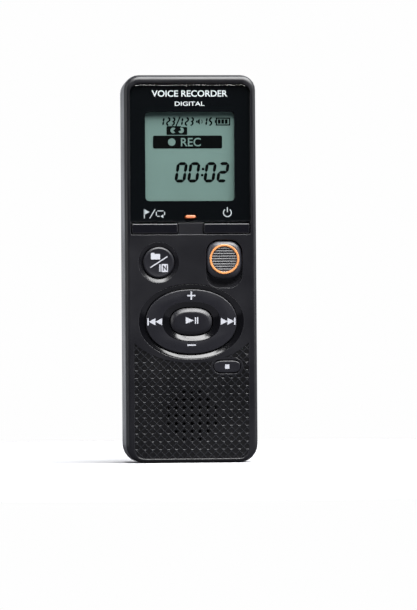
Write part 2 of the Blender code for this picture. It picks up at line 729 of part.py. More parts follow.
def cut_front_openings(cover):
    past = FRONT_FACE_Y - CUT_PAST
    inside = INNER_FRONT_Y + CUT_PAST
    view = rounded_box(
        VIEW_WIDTH / 2, VIEW_BOTTOM_Z, VIEW_TOP_Z, VIEW_CORNER, VIEW_CORNER
    )
    step = rounded_box(
        WINDOW_HALF_WIDTH,
        BODY_LENGTH - STEP_BOTTOM,
        WINDOW_BOTTOM_Z + CUT_PAST,
        STEP_CORNER,
        STEP_CORNER,
    )
    lamp_hole = lamp_outline(-TOUCH_GAP)
    slot_low = SLIDE_Z - SLIDE_HEIGHT / 2 - SLIDE_TRAVEL - KEY_GAP
    slot_high = SLIDE_Z + SLIDE_HEIGHT / 2 + KEY_GAP
    slide_slot = moved(
        rounded_box(
            SLIDE_WIDTH / 2 + KEY_GAP, slot_low, slot_high, SLIDE_CORNER, SLIDE_CORNER
        ),
        SLIDE_X,
        0,
    )
    stop_hole = moved(
        stadium(STOP_WIDTH / 2 + KEY_GAP, STOP_HEIGHT / 2 + KEY_GAP), STOP_X, STOP_Z
    )
    cut(
        cover,
        slot_tool("window_pocket", window_outline(-TOUCH_GAP), past, LEDGE_FRONT_Y),
        slot_tool("view_opening", view, past, LEDGE_BACK_Y + CUT_PAST),
        slot_tool("lamp_opening", lamp_hole, past, LEDGE_BACK_Y + CUT_PAST),
        slot_tool("key_step", step, past, FRONT_FACE_Y + STEP_SINK),
        slot_tool("slide_opening", slide_slot, past, inside),
    )
    for side, name in ((-1, "index_opening"), (1, "power_opening")):
        outline = moved(bar_outline(-KEY_GAP), side * bar_centre_x(), BAR_Z)
        cut(cover, slot_tool(name, outline, past, LEDGE_BACK_Y + CUT_PAST))
    pattern = slot_tool("pattern_recess", pattern_outline(), past, FRONT_FACE_Y + PATTERN_SINK)
    island = moved(
        stadium(
            STOP_WIDTH / 2 + KEY_GAP + PATTERN_ISLAND,
            STOP_HEIGHT / 2 + KEY_GAP + PATTERN_ISLAND,
        ),
        STOP_X,
        STOP_Z,
    )
    cut(pattern, slot_tool("stop_island", island, past - CUT_PAST, inside))
    cut(cover, pattern, slot_tool("stop_opening", stop_hole, past, inside))
    cut(
        cover,
        countersink(
            "pad_recess",
            lambda inset: super_ellipse(
                PAD_HALF_X + KEY_GAP, PAD_HALF_Z + KEY_GAP, PAD_POWER, inset, count=48
            ),
            (0, PAD_Z),
            PAD_RECESS_MARGIN - KEY_GAP,
            inside,
        ),
        countersink(
            "folder_recess",
            lambda inset: circle(FOLDER_RADIUS + KEY_GAP - inset, 32),
            (FOLDER_X, FOLDER_Z),
            FOLDER_RECESS_RADIUS - FOLDER_RADIUS - KEY_GAP,
            inside,
        ),
    )

    def holes(shape):
        corners = ((1, 0), (0, 1), (-1, 0), (0, -1))
        for x, z in speaker_hole_places():
            outline = [
                (x + HOLE_HALF_WIDTH * u, z + HOLE_HALF_WIDTH * v) for u, v in corners
            ]
            add_loft(shape, [(past, outline), (inside, outline)])

    cut(cover, new_object("speaker_holes", holes))


def cut_front_inside(cover):
    pilots = [
        (x, z, INNER_FRONT_Y + WALL, BOSS_MEET_Y + CUT_PAST) for x, z in boss_places()
    ]
    cut(cover, rods("front_pilots", SCREW_RADIUS + TOUCH_GAP / 2, pilots, count=12))
    board_pilots = [
        (x, z, LEDGE_BACK_Y + TOUCH_GAP, BOARD_FRONT_Y + CUT_PAST)
        for x, z in board_boss_places()
    ]
    cut(
        cover,
        rods("board_pilots", BOARD_SCREW_RADIUS + TOUCH_GAP / 2, board_pilots, count=12),
        jack_tool("front_jack_holes"),
    )
    usb = box_outline(USB_HEIGHT / 2 + USB_GAP, USB_WIDTH / 2 + USB_GAP, USB_CORNER, steps=3)
    usb = moved(usb, USB_Y, USB_Z)
    ends = (INNER_HALF_WIDTH - CUT_PAST, HALF_WIDTH + CUT_PAST)
    cut(cover, loft("usb_opening", [(x, usb) for x in ends], axis="X"))


def make_front_cover(finishes):
    cover = front_cover_body(finishes)
    cut_front_openings(cover)
    cut_front_inside(cover)
    smooth(cover)


def make_window(finishes):
    front = edge_layers(window_outline, WINDOW_FRONT_Y, WINDOW_EDGE_RADIUS, 1, steps=2)
    back_y = WINDOW_FRONT_Y + WINDOW_THICKNESS
    window = loft("display_window", front + [(back_y, window_outline(0))], finishes["window"])
    hole = lamp_outline(-TOUCH_GAP)
    cut(window, slot_tool("window_lamp_hole", hole, FRONT_FACE_Y - CUT_PAST, back_y + CUT_PAST))
    smooth(window)


def make_display(finishes):
    middle_z = (PANEL_TOP_Z + PANEL_BOTTOM_Z) / 2
    half_z = (PANEL_TOP_Z - PANEL_BOTTOM_Z) / 2
    panel = box_outline(PANEL_HALF_WIDTH, half_z)
    at = (0, PANEL_FRONT_Y, middle_z)
    loft("display_panel", [(0, panel), (PANEL_THICKNESS, panel)], finishes["display"], at=at)
    inner = box_outline(PANEL_HALF_WIDTH + TOUCH_GAP, half_z + TOUCH_GAP)
    margin = TOUCH_GAP + HOLDER_WALL
    outer = box_outline(PANEL_HALF_WIDTH + margin, half_z + margin)
    ends = (0, BOARD_FRONT_Y - TOUCH_GAP - PANEL_FRONT_Y)
    ring_loft(
        "display_holder",
        [(y, outer) for y in ends],
        [(y, inner) for y in ends],
        finishes["keys"],
        at=at,
    )
    strip = ((VIEW_WIDTH, BOARD_FRONT_Y - PANEL_BACK_Y - 2 * TOUCH_GAP, STRIP_WIDTH), (0, 0, 0))
    strip_at = (0, (BOARD_FRONT_Y + PANEL_BACK_Y) / 2, PANEL_BOTTOM_Z + STRIP_WIDTH)
    boxes("display_connector_strip", [strip], finishes["rubber"], strip_at)


def make_lamp(finishes):
    front_y = WINDOW_FRONT_Y - LAMP_PROUD
    back_y = BOARD_FRONT_Y - 2 * TOUCH_GAP - LAMP_CHIP[1]
    layers = edge_layers(
        lambda inset: stadium(LAMP_WIDTH / 2, LAMP_HEIGHT / 2, inset), 0, LAMP_EDGE_RADIUS, 1
    )
    layers.append((back_y - front_y, stadium(LAMP_WIDTH / 2, LAMP_HEIGHT / 2)))
    lens = loft("record_lamp_lens", layers, finishes["orange"], at=(0, front_y, LAMP_Z))
    smooth(lens)
    chip_y = BOARD_FRONT_Y - TOUCH_GAP - LAMP_CHIP[1] / 2
    boxes("record_lamp_chip", [(LAMP_CHIP, (0, 0, 0))], finishes["display"], (0, chip_y, LAMP_Z))


# Keys


def key(name, outline_at, flange, front_y, flange_y, finish, at):
    """A keycap with a rounded front edge and a flange behind the wall. Its origin is on the front face."""
    x, z = at
    layers = edge_layers(outline_at, front_y - FRONT_FACE_Y, KEY_EDGE_RADIUS, 1)
    start, end = (y - FRONT_FACE_Y for y in flange_y)
    layers += [(start, outline_at(0)), (start, flange), (end, flange)]
    obj = loft(name, layers, finish, at=(x, FRONT_FACE_Y, z))
    smooth(obj)
    return obj


def bar_centre_x():
    return (BAR_INNER_X + BAR_OUTER_X) / 2


def bar_outline(inset):
    half = (BAR_OUTER_X - BAR_INNER_X) / 2
    return box_outline(half, BAR_HEIGHT / 2, BAR_CORNER, inset, steps=4)


def make_bar_keys(finishes):
    """The two keys below the window. Their flange runs inwards and down, where the case leaves room."""
    half = (BAR_OUTER_X - BAR_INNER_X) / 2
    front_y = FRONT_FACE_Y + STEP_SINK - BAR_PROUD
    for side, name in ((-1, "index_button"), (1, "power_button")):
        outline = rounded_box(
            half + FLANGE_MARGIN / 2,
            -BAR_HEIGHT / 2 - FLANGE_MARGIN,
            BAR_HEIGHT / 2,
            BAR_CORNER,
            BAR_CORNER,
            steps=4,
        )
        flange = moved(outline, -side * FLANGE_MARGIN / 2, 0)
        key(
            name,
            bar_outline,
            flange,
            front_y,
            (FLANGE_FRONT_Y, FLANGE_BACK_Y),
            finishes["gloss"],
            (side * bar_centre_x(), BAR_Z),
        )


def make_round_keys(finishes):
    def folder(inset):
        return circle(FOLDER_RADIUS - inset, 32)

    key(
        "folder_button",
        folder,
        folder(-FLANGE_MARGIN),
        FRONT_FACE_Y - FOLDER_PROUD,
        (FLANGE_FRONT_Y, FLANGE_BACK_Y),
        finishes["keys"],
        (FOLDER_X, FOLDER_Z),
    )

    def stop(inset):
        return stadium(STOP_WIDTH / 2, STOP_HEIGHT / 2, inset)

    key(
        "stop_button",
        stop,
        stadium(STOP_WIDTH / 2 + FLANGE_MARGIN, STOP_HEIGHT / 2 + FLANGE_MARGIN),
        FRONT_FACE_Y - STOP_PROUD,
        (FLANGE_FRONT_Y, FLANGE_BACK_Y),
        finishes["keys"],
        (STOP_X, STOP_Z),
    )

    def play(inset):
        return super_ellipse(PLAY_HALF_X, PLAY_HALF_Z, PLAY_POWER, inset)

    key(
        "play_button",
        play,
        play(-FLANGE_MARGIN),
        FRONT_FACE_Y - PLAY_PROUD,
        (PLAY_FLANGE_FRONT_Y, PLAY_FLANGE_BACK_Y),
        finishes["keys"],
        (0, PAD_Z),
    )


def make_direction_pad(finishes):
    def outer(inset):
        return super_ellipse(PAD_HALF_X, PAD_HALF_Z, PAD_POWER, inset, count=48)

    def hole(inset):
        return super_ellipse(PAD_HOLE_HALF_X, PAD_HOLE_HALF_Z, PLAY_POWER, inset, count=40)

    front_y = FRONT_FACE_Y - PAD_PROUD
    pad = key(
        "direction_pad",
        outer,
        outer(-KEY_GAP - FLANGE_MARGIN / 2),
        front_y,
        (PAD_FLANGE_FRONT_Y, PAD_BACK_Y),
        finishes["keys"],
        (0, PAD_Z),
    )
    layers = [
        (front_y - CUT_PAST, hole(-PAD_HOLE_RECESS - CUT_PAST)),
        (front_y, hole(-PAD_HOLE_RECESS)),
        (front_y + RECESS_DEPTH, hole(0)),
        (PAD_BACK_Y + CUT_PAST, hole(0)),
    ]
    cut(pad, loft("pad_hole", [(y, moved(o, 0, PAD_Z)) for y, o in layers]))
    outline = super_ellipse(ROCKER_HALF_X, ROCKER_HALF_Z, 2, count=40)
    inner = super_ellipse(ROCKER_HALF_X - ROCKER_BAND, ROCKER_HALF_Z - ROCKER_BAND, 2, count=40)
    ends = (0, ROCKER_THICKNESS)
    ring_loft(
        "pad_rocker_plate",
        [(y, outline) for y in ends],
        [(y, inner) for y in ends],
        finishes["steel"],
        at=(0, ROCKER_FRONT_Y, PAD_Z),
    )


def make_keypad_mat(finishes):
    """One silicone sheet behind the keys, with a raised pad under each key and a nub over each dome."""
    half = INNER_HALF_WIDTH - MAT_SIDE_GAP
    low = SPEAKER_Z + SPEAKER_RADIUS + WIRE_RUN
    high = BAR_Z + BAR_HEIGHT / 2
    sheet = rounded_box(half, low, high, MAT_CORNER, MAT_CORNER)
    mat = loft("keypad_mat", [(MAT_FRONT_Y, sheet), (MAT_BACK_Y, sheet)], finishes["rubber"])
    pad_top = FLANGE_BACK_Y + KEY_REST_GAP
    inner = MAT_FRONT_Y + MAT_THICKNESS / 2
    under_flanges = ("dome_index", "dome_power", "dome_folder", "dome_stop")
    raised = [(*DOME_PLACES[name], pad_top, inner) for name in under_flanges]
    join(mat, rods("mat_pads", NUB_RADIUS, raised, count=12))
    nubs = [(x, z, inner, MAT_BACK_Y + NUB_LENGTH) for x, z in DOME_PLACES.values()]
    join(mat, rods("mat_nubs", NUB_RADIUS, nubs, count=12))
    switch = box_outline(
        SWITCH_BODY[0] / 2 + TOUCH_GAP, SWITCH_BODY[2] / 2 + TOUCH_GAP, 0.3 * MM
    )
    switch = moved(switch, SLIDE_X, slide_switch_z())
    ends = (MAT_FRONT_Y - CUT_PAST, MAT_BACK_Y + CUT_PAST)
    cut(mat, slot_tool("mat_switch_hole", switch, *ends))
    screws = [(x, z, *ends) for x, z in board_boss_places()[1:]]
    cut(mat, rods("mat_boss_hole", BOARD_BOSS_RADIUS + KEY_GAP, screws, count=16))


def make_domes(finishes):
    """Snap domes on the board, one mesh for all."""
    layers = [(0, circle(DOME_RADIUS, 16)), (-DOME_HEIGHT / 2, circle(DOME_RADIUS * 0.85, 16))]
    layers.append((-DOME_HEIGHT, circle(DOME_RADIUS * 0.45, 16)))
    shared = None
    for name, (x, z) in DOME_PLACES.items():
        at = (x, BOARD_FRONT_Y - TOUCH_GAP, z)
        if shared is None:
            dome = loft(name, layers, finishes["steel"], at=at)
            shared = dome.data
        else:
            dome = bpy.data.objects.new(name, shared)
            bpy.context.scene.collection.objects.link(dome)
            dome.location = at


# Record slide and its switch


def slide_switch_z():
    return SLIDE_Z - SLIDE_TRAVEL / 2


def slide_outline(inset):
    return box_outline(SLIDE_WIDTH / 2, SLIDE_HEIGHT / 2, SLIDE_CORNER, inset, steps=8)


def make_record_slide(finishes):
    front_y = FRONT_FACE_Y - SLIDE_PROUD
    plate = rounded_box(
        SLIDE_WIDTH / 2 + SLIDE_PLATE_MARGIN,
        -SLIDE_HEIGHT / 2 - SLIDE_PLATE_DROP,
        SLIDE_HEIGHT / 2 + SLIDE_PLATE_MARGIN,
        SLIDE_PLATE_CORNER,
        SLIDE_PLATE_CORNER,
        steps=8,
    )
    slide = loft(
        "record_slide",
        edge_layers(slide_outline, front_y, SLIDE_SHOULDER, 1)
        + [(SLIDE_PLATE_FRONT_Y, slide_outline(0)), (SLIDE_PLATE_FRONT_Y, plate)]
        + [(SLIDE_PLATE_BACK_Y, plate)],
        finishes["keys"],
        at=(SLIDE_X, 0, SLIDE_Z),
    )
    centre = (SLIDE_X, SLIDE_Z)
    radii = (SLIDE_RING_RADIUS, SLIDE_RING_RADIUS - SLIDE_RING_WIDTH)
    groove_end = front_y + SLIDE_GROOVE_DEPTH

    def ring(name, grow, start, end, finish=None, at=(0, 0, 0)):
        outer = moved(circle(radii[0] + grow, 40), centre[0] - at[0], centre[1] - at[2])
        inner = moved(circle(radii[1] - grow, 40), centre[0] - at[0], centre[1] - at[2])
        return ring_loft(
            name, [(start, outer), (end, outer)], [(start, inner), (end, inner)], finish, at=at
        )

    cut(slide, ring("ring_groove", SLIDE_GROOVE_PLAY, front_y - CUT_PAST, groove_end))
    ring(
        "record_slide_ring",
        0,
        front_y - SLIDE_RING_PROUD,
        groove_end - SLIDE_GROOVE_PLAY,
        finishes["orange"],
        at=(SLIDE_X, 0, SLIDE_Z),
    )

    def grooves(shape):
        reach = radii[1] - SLIDE_RIB_MARGIN
        rise = SLIDE_RIB_GAP / 2
        count = int(reach / SLIDE_RIB_PITCH)
        for row in range(-count, count + 1):
            z = row * SLIDE_RIB_PITCH
            half = math.sqrt(max(reach**2 - z**2, 0)) - SLIDE_GROOVE_PLAY
            if half < SLIDE_RIB_PITCH:
                continue
            outline = moved(
                [(half, rise), (-half, rise), (-half, -rise), (half, -rise)],
                centre[0],
                centre[1] + z,
            )
            end = front_y + SLIDE_RIB_DEPTH
            add_loft(shape, [(front_y - CUT_PAST, outline), (end, outline)])

    cut(slide, new_object("rib_grooves", grooves))
    side = LEVER_SIDE + 2 * LEVER_PLAY
    pocket_deep = SLIDE_PLATE_BACK_Y - LEVER_LENGTH - LEVER_PLAY
    pocket = ((side, CUT_PAST + SLIDE_PLATE_BACK_Y - pocket_deep, side),)
    middle_y = (pocket_deep + SLIDE_PLATE_BACK_Y + CUT_PAST) / 2
    cut(slide, boxes("lever_pocket", [(*pocket, (SLIDE_X, middle_y, SLIDE_Z))]))
    smooth(slide)
    lever_top = SLIDE_PLATE_BACK_Y - LEVER_LENGTH
    lever_foot = BOARD_FRONT_Y - TOUCH_GAP - SWITCH_BODY[1] - LEVER_LIFT
    lever = (LEVER_SIDE, lever_foot - lever_top, LEVER_SIDE)
    boxes(
        "slide_switch_lever",
        [(lever, (0, (lever_top + lever_foot) / 2, 0))],
        finishes["black"],
        (SLIDE_X, 0, SLIDE_Z),
    )
    switch_y = BOARD_FRONT_Y - TOUCH_GAP - SWITCH_BODY[1] / 2
    at = (SLIDE_X, switch_y, slide_switch_z())
    boxes("slide_switch", [(SWITCH_BODY, (0, 0, 0))], finishes["steel"], at)


# Board and what is on it


def make_board(finishes):
    outline = rounded_box(
        BOARD_HALF_WIDTH, BOARD_BOTTOM_Z, BOARD_TOP_Z, BOARD_LOW_CORNER, BOARD_HIGH_CORNER
    )
    board = loft(
        "circuit_board", [(BOARD_FRONT_Y, outline), (BOARD_BACK_Y, outline)], finishes["board"]
    )
    ends = (BOARD_FRONT_Y - CUT_PAST, BOARD_BACK_Y + CUT_PAST)
    notches = [(x, z, *ends) for x, z in boss_places()]
    cut(board, rods("board_notches", FRONT_BOSS_RADIUS + 2 * TOUCH_GAP, notches, count=20))
    holes = [(x, z, *ends) for x, z in board_boss_places()]
    cut(board, rods("board_screw_holes", BOARD_SCREW_RADIUS + TOUCH_GAP, holes, count=14))
    chips = (
        ("main_processor", (10.0 * MM, 0.9 * MM, 10.0 * MM), (-4.0 * MM, 24.0 * MM)),
        ("memory_chip", (12.0 * MM, 1.0 * MM, 8.0 * MM), (-5.0 * MM, 37.5 * MM)),
        ("audio_amplifier", (4.0 * MM, 0.9 * MM, 4.0 * MM), (7.5 * MM, 21.5 * MM)),
    )
    for name, size, (x, below) in chips:
        at = (x, BOARD_BACK_Y + TOUCH_GAP + size[1] / 2, BODY_LENGTH - below)
        boxes(name, [(size, (0, 0, 0))], finishes["chip"], at)


def make_jacks(finishes):
    """Two 3.5 mm sockets, whose noses stand through the top wall."""
    top = BODY_LENGTH - JACK_BELOW_TOP
    body = box_outline(JACK_WIDTH / 2, JACK_BODY_DEPTH / 2, JACK_CORNER)
    for side, name in ((-1, "microphone_jack"), (1, "earphone_jack")):
        at = (side * JACK_X, JACK_Y, top)
        jack = loft(name, [(-JACK_BODY_LENGTH, body), (0, body)], finishes["black"], "Z", at)
        centre = (side * JACK_X, JACK_Y)
        nose_top = BODY_LENGTH + JACK_PROUD
        nose = rods(name + "_nose", JACK_NOSE_RADIUS, [(*centre, top - WALL, nose_top)], "Z")
        bore_end = top - JACK_BODY_LENGTH + WALL
        bore = rods(
            name + "_bore", JACK_BORE_RADIUS, [(*centre, bore_end, nose_top + CUT_PAST)], "Z"
        )
        join(jack, nose)
        cut(jack, bore)
        smooth(jack)


def make_microphone(finishes):
    """An electret capsule in a rubber boot whose nose leads to the holes in the top wall."""
    top = BODY_LENGTH - BOOT_BELOW_TOP
    at = (0, MIC_Y, top)
    boot = loft(
        "microphone_boot",
        [
            (-BOOT_LENGTH, circle(BOOT_RADIUS)),
            (0, circle(BOOT_RADIUS)),
            (0, circle(BOOT_NOSE_RADIUS)),
            (BOOT_BELOW_TOP - WALL - TOUCH_GAP, circle(BOOT_NOSE_RADIUS)),
        ],
        finishes["rubber"],
        "Z",
        at,
    )
    pocket_top = top - BOOT_ROOF
    pocket = rods(
        "capsule_pocket",
        MIC_RADIUS + MIC_GAP,
        [(0, MIC_Y, top - BOOT_LENGTH - CUT_PAST, pocket_top)],
        "Z",
        24,
    )
    channel = rods(
        "sound_channel", SOUND_CHANNEL_RADIUS, [(0, MIC_Y, pocket_top - CUT_PAST, BODY_LENGTH)], "Z", 12
    )
    cut(boot, pocket, channel)
    smooth(boot)
    capsule_top = pocket_top - MIC_GAP - top
    layers = [(capsule_top - MIC_LENGTH, circle(MIC_RADIUS)), (capsule_top, circle(MIC_RADIUS))]
    capsule = loft("microphone_capsule", layers, finishes["steel"], "Z", at)
    smooth(capsule)


def make_usb_socket(finishes):
    outer_x = HALF_WIDTH - USB_SINK
    outer = box_outline(USB_HEIGHT / 2, USB_WIDTH / 2, USB_CORNER, steps=3)
    inner = box_outline(USB_HEIGHT / 2, USB_WIDTH / 2, USB_CORNER, USB_SHELL, steps=3)
    at = (outer_x, USB_Y, USB_Z)
    ring_loft(
        "usb_socket",
        [(-USB_DEPTH, outer), (0, outer)],
        [(-USB_DEPTH, inner), (0, inner)],
        finishes["steel"],
        "X",
        at,
    )
    length, width, thickness = USB_TONGUE
    tongue_x = -USB_DEPTH + length / 2 + TOUCH_GAP
    boxes(
        "usb_tongue",
        [((length, thickness, width), (tongue_x, 0, 0))],
        finishes["black"],
        at,
    )


# Speaker


def make_speaker(finishes):
    at = (0, SPEAKER_FRONT_Y, SPEAKER_Z)
    wide = circle(SPEAKER_RADIUS, 32)
    gasket_inner = circle(SPEAKER_RADIUS - GASKET_BAND, 32)
    ends = (-TOUCH_GAP - GASKET_THICKNESS, -TOUCH_GAP)
    ring_loft(
        "speaker_gasket",
        [(y, wide) for y in ends],
        [(y, gasket_inner) for y in ends],
        finishes["rubber"],
        at=at,
    )
    basket = circle(SPEAKER_RADIUS - SPEAKER_RIM_BAND, 32)
    frame = loft(
        "speaker_frame",
        [
            (0, wide),
            (SPEAKER_RIM_THICKNESS, wide),
            (SPEAKER_RIM_BAND, basket),
            (SPEAKER_DEPTH, basket),
        ],
        finishes["steel"],
        at=at,
    )
    bowl_end = SPEAKER_BACK_Y - SPEAKER_FRAME_WALL
    bowl = [(0, SPEAKER_Z, SPEAKER_FRONT_Y - CUT_PAST, bowl_end)]
    cut(frame, rods("speaker_bowl", CONE_RADIUS + TOUCH_GAP / 2, bowl, count=32))
    smooth(frame)
    film = CONE_FILM
    profile = [(CONE_RADIUS, 0.25 * MM), (5.6 * MM, 0.1 * MM), (4.9 * MM, 0.25 * MM)]
    profile += [(2.6 * MM, 0.45 * MM), (1.3 * MM, 0.3 * MM)]
    front = [(depth, circle(radius - film, 32)) for radius, depth in reversed(profile)]
    back = [(depth + film, circle(radius, 32)) for radius, depth in profile]
    cone = loft("speaker_cone", front + back, finishes["cone"], at=at)
    smooth(cone)
    magnet_y = SPEAKER_DEPTH - SPEAKER_FRAME_WALL - TOUCH_GAP - MAGNET_THICKNESS + MAGNET_STEP
    magnet = circle(MAGNET_RADIUS, 24)
    thickness = (magnet_y, magnet_y + MAGNET_THICKNESS - MAGNET_STEP)
    loft("speaker_magnet", [(y, magnet) for y in thickness], finishes["steel"], at=at)
    for side, name, finish in ((-1, "speaker_wire_red", "red"), (1, "speaker_wire_black", "black")):
        x = side * WIRE_X
        start_z = SPEAKER_Z + SPEAKER_RADIUS - SPEAKER_RIM_BAND + WIRE_RADIUS
        low_y = SPEAKER_BACK_Y - 2 * WIRE_RADIUS
        end_y = BOARD_FRONT_Y - TOUCH_GAP - WIRE_RADIUS
        route = []
        for step in range(9):
            share = step / 8
            bow = math.sin(math.pi * share) * WIRE_BOW
            route.append(
                (x + side * bow, low_y + (end_y - low_y) * share, start_z + WIRE_RUN * share)
            )
        wire(name, route, WIRE_RADIUS, finishes[finish])


# Rear cover, battery compartment and door


def compartment_box(name, grow_x, low, high, start, end):
    """A plain block round the battery compartment, grown sideways, between two heights and two depths."""
    half = COMPARTMENT_HALF_WIDTH + grow_x
    size = (2 * half, end - start, high - low)
    return boxes(name, [(size, (0, (start + end) / 2, (low + high) / 2))])


def rear_cover_body(finishes):
    rim_y = PART_LINE_Y + SHELL_GAP / 2
    lip_y = PART_LINE_Y - LIP_HEIGHT
    lip_out, lip_in = body_outline(WALL + LIP_GAP), body_outline(WALL + LIP_GAP + LIP_THICKNESS)
    layers = edge_layers(body_outline, BACK_FACE_Y, BACK_EDGE_RADIUS, -1, steps=6)
    layers += [(rim_y, body_outline(0)), (rim_y, lip_out), (lip_y, lip_out), (lip_y, lip_in)]
    layers += [(rim_y + LIP_ROOT, lip_in), (rim_y + LIP_ROOT + LIP_THICKNESS, body_outline(WALL))]
    layers += [(INNER_BACK_Y - WALL, body_outline(WALL)), (INNER_BACK_Y, body_outline(2 * WALL))]
    cover = loft("rear_cover", layers, finishes["case"])
    hinge_high = HINGE_Z + HINGE_RADIUS + DOOR_GAP + HINGE_BLOCK_WALL
    shoulder_y = DOOR_INNER_Y - DOOR_GAP - SHOULDER_THICKNESS
    hinge_y = HINGE_Y - HINGE_RADIUS - DOOR_GAP - HINGE_BLOCK_WALL
    into_back = INNER_BACK_Y + WALL / 2
    grow = DOOR_SIDE_MARGIN + DOOR_GAP
    bosses = [(x, z, BOSS_MEET_Y + 2 * TOUCH_GAP, into_back) for x, z in boss_places()]
    join(
        cover,
        compartment_box(
            "compartment",
            COMPARTMENT_SIDE_WALL,
            COMPARTMENT_BOTTOM - COMPARTMENT_SIDE_WALL,
            COMPARTMENT_TOP + COMPARTMENT_SIDE_WALL,
            FLOOR_OUTER_Y,
            into_back - JOIN_STEP,
        ),
        compartment_box(
            "shoulder",
            grow + PIN_SEAT,
            WALL + TOUCH_GAP,
            hinge_high - TOUCH_GAP,
            shoulder_y,
            into_back - 2 * JOIN_STEP,
        ),
        compartment_box(
            "hinge_block",
            grow + PIN_SEAT + TOUCH_GAP,
            COMPARTMENT_TOP + TOUCH_GAP,
            hinge_high,
            hinge_y,
            into_back - 3 * JOIN_STEP,
        ),
        rods("rear_bosses", REAR_BOSS_RADIUS, bosses, count=20),
    )
    return cover


def cut_rear_openings(cover):
    past = BACK_FACE_Y + CUT_PAST
    seat_half = DOOR_HALF_WIDTH + DOOR_GAP
    seat = rounded_box(
        seat_half, DOOR_BOTTOM_Z - DOOR_GAP, HINGE_Z, DOOR_CORNER + DOOR_GAP, 0.1 * MM
    )
    trough_radius = HINGE_RADIUS + DOOR_GAP
    trough = loft(
        "hinge_trough",
        [
            (x, moved(circle(trough_radius, 24), HINGE_Y, HINGE_Z))
            for x in (-seat_half, seat_half)
        ],
        axis="X",
    )
    mouth = (
        (2 * seat_half, past - HINGE_Y, 2 * trough_radius),
        (0, (past + HINGE_Y) / 2, HINGE_Z),
    )
    slots = []
    for side in (-1, 1):
        size = (CONTACT_LEG_WIDTH + 2 * TOUCH_GAP, 3 * MM, CONTACT_THICKNESS + 2 * TOUCH_GAP)
        z = COMPARTMENT_TOP - TOUCH_GAP - CONTACT_THICKNESS / 2
        slots.append((size, (side * CELL_X, FLOOR_INNER_Y - MM, z)))
    notch = []
    for y, draw_in in ((past, 0), (BACK_FACE_Y - NOTCH_DEPTH, NOTCH_SLOPE)):
        outline = super_ellipse(NOTCH_HALF_WIDTH - draw_in, NOTCH_HALF_HEIGHT - draw_in, 2, count=24)
        notch.append((y, moved(outline, 0, DOOR_BOTTOM_Z - DOOR_GAP)))
    cut(
        cover,
        slot_tool("door_seat", seat, DOOR_INNER_Y - DOOR_GAP, past),
        trough,
        boxes("hinge_mouth", [mouth]),
        compartment_box(
            "battery_space", 0, COMPARTMENT_BOTTOM, COMPARTMENT_TOP, FLOOR_INNER_Y, past
        ),
        boxes("leg_slots", slots),
        loft("finger_notch", notch),
    )


def cut_rear_holes(cover):
    past = BACK_FACE_Y + CUT_PAST
    seat_y = BACK_FACE_Y - HEAD_SEAT
    shanks = [(x, z, BOSS_MEET_Y - CUT_PAST, past) for x, z in boss_places()]
    heads = [(x, z, seat_y, past) for x, z in boss_places()]
    pin_half = DOOR_HALF_WIDTH + DOOR_GAP + PIN_SEAT
    pin = [(HINGE_Y, HINGE_Z, -pin_half, pin_half)]
    mic = [
        (step * MIC_HOLE_PITCH, MIC_Y, BODY_LENGTH - 2 * WALL, BODY_LENGTH + CUT_PAST)
        for step in (-1, 0, 1)
    ]
    cut(
        cover,
        rods("shank_holes", SCREW_RADIUS + TOUCH_GAP / 2, shanks, count=12),
        rods("head_holes", SCREW_HEAD_RADIUS + TOUCH_GAP, heads, count=20),
        rods("pin_hole", PIN_RADIUS + PIN_CLEARANCE, pin, "X", 12),
        rods("microphone_holes", MIC_HOLE_RADIUS, mic, "Z", 12),
        jack_tool("rear_jack_holes"),
    )


def make_rear_cover(finishes):
    cover = rear_cover_body(finishes)
    cut_rear_openings(cover)
    cut_rear_holes(cover)
    smooth(cover)


def make_door(finishes):
    """The battery door, turning on a pin at its upper end. Its origin is on the pin's axis."""
    hinge = bpy.data.objects.new("door_hinge_axis", None)
    bpy.context.scene.collection.objects.link(hinge)
    hinge.location = (0, HINGE_Y, HINGE_Z)
    low = DOOR_BOTTOM_Z - HINGE_Z
    plate = rounded_box(DOOR_HALF_WIDTH, low, 0, DOOR_CORNER, 0.1 * MM)
    inner, outer = DOOR_INNER_Y - HINGE_Y, BACK_FACE_Y - HINGE_Y
    door = loft("battery_door", [(inner, plate), (outer, plate)], finishes["case"])
    door.parent = hinge
    half = DOOR_HALF_WIDTH
    barrel = rods("door_barrel", HINGE_RADIUS, [(0, 0, -half, half)], "X", 24)
    bore = rods(
        "door_bore",
        PIN_RADIUS + PIN_CLEARANCE,
        [(0, 0, -half - CUT_PAST, half + CUT_PAST)],
        "X",
        12,
    )
    width, depth, height = GRIP_SIZE
    grips = [
        ((width, 2 * depth, height), (0, outer, low + GRIP_START + row * GRIP_PITCH))
        for row in range(GRIP_COUNT)
    ]
    grip = boxes("door_grips", grips)
    for tool in (barrel, bore, grip):
        tool.parent = hinge
    join(door, barrel)
    cut(door, bore, grip)
    smooth(door)
    pin_half = DOOR_HALF_WIDTH + DOOR_GAP + PIN_SEAT - TOUCH_GAP
    layers = [(x, circle(PIN_RADIUS, 12)) for x in (-pin_half, pin_half)]
    pin = loft("door_hinge_pin", layers, finishes["steel"], "X", (0, HINGE_Y, HINGE_Z))
    smooth(pin)


def cell_layers():
    """An AAA cell from its flat end to its button."""
    radius = CELL_DIAMETER / 2
    top = CELL_LENGTH - CELL_BUTTON_HEIGHT
    edge = CELL_EDGE_RADIUS
    return [
        (0, circle(radius - edge, 32)),
        (edge, circle(radius, 32)),
        (top - edge, circle(radius, 32)),
        (top, circle(radius - edge, 32)),
        (top, circle(CELL_BUTTON_RADIUS, 32)),
        (CELL_LENGTH, circle(CELL_BUTTON_RADIUS, 32)),
    ]


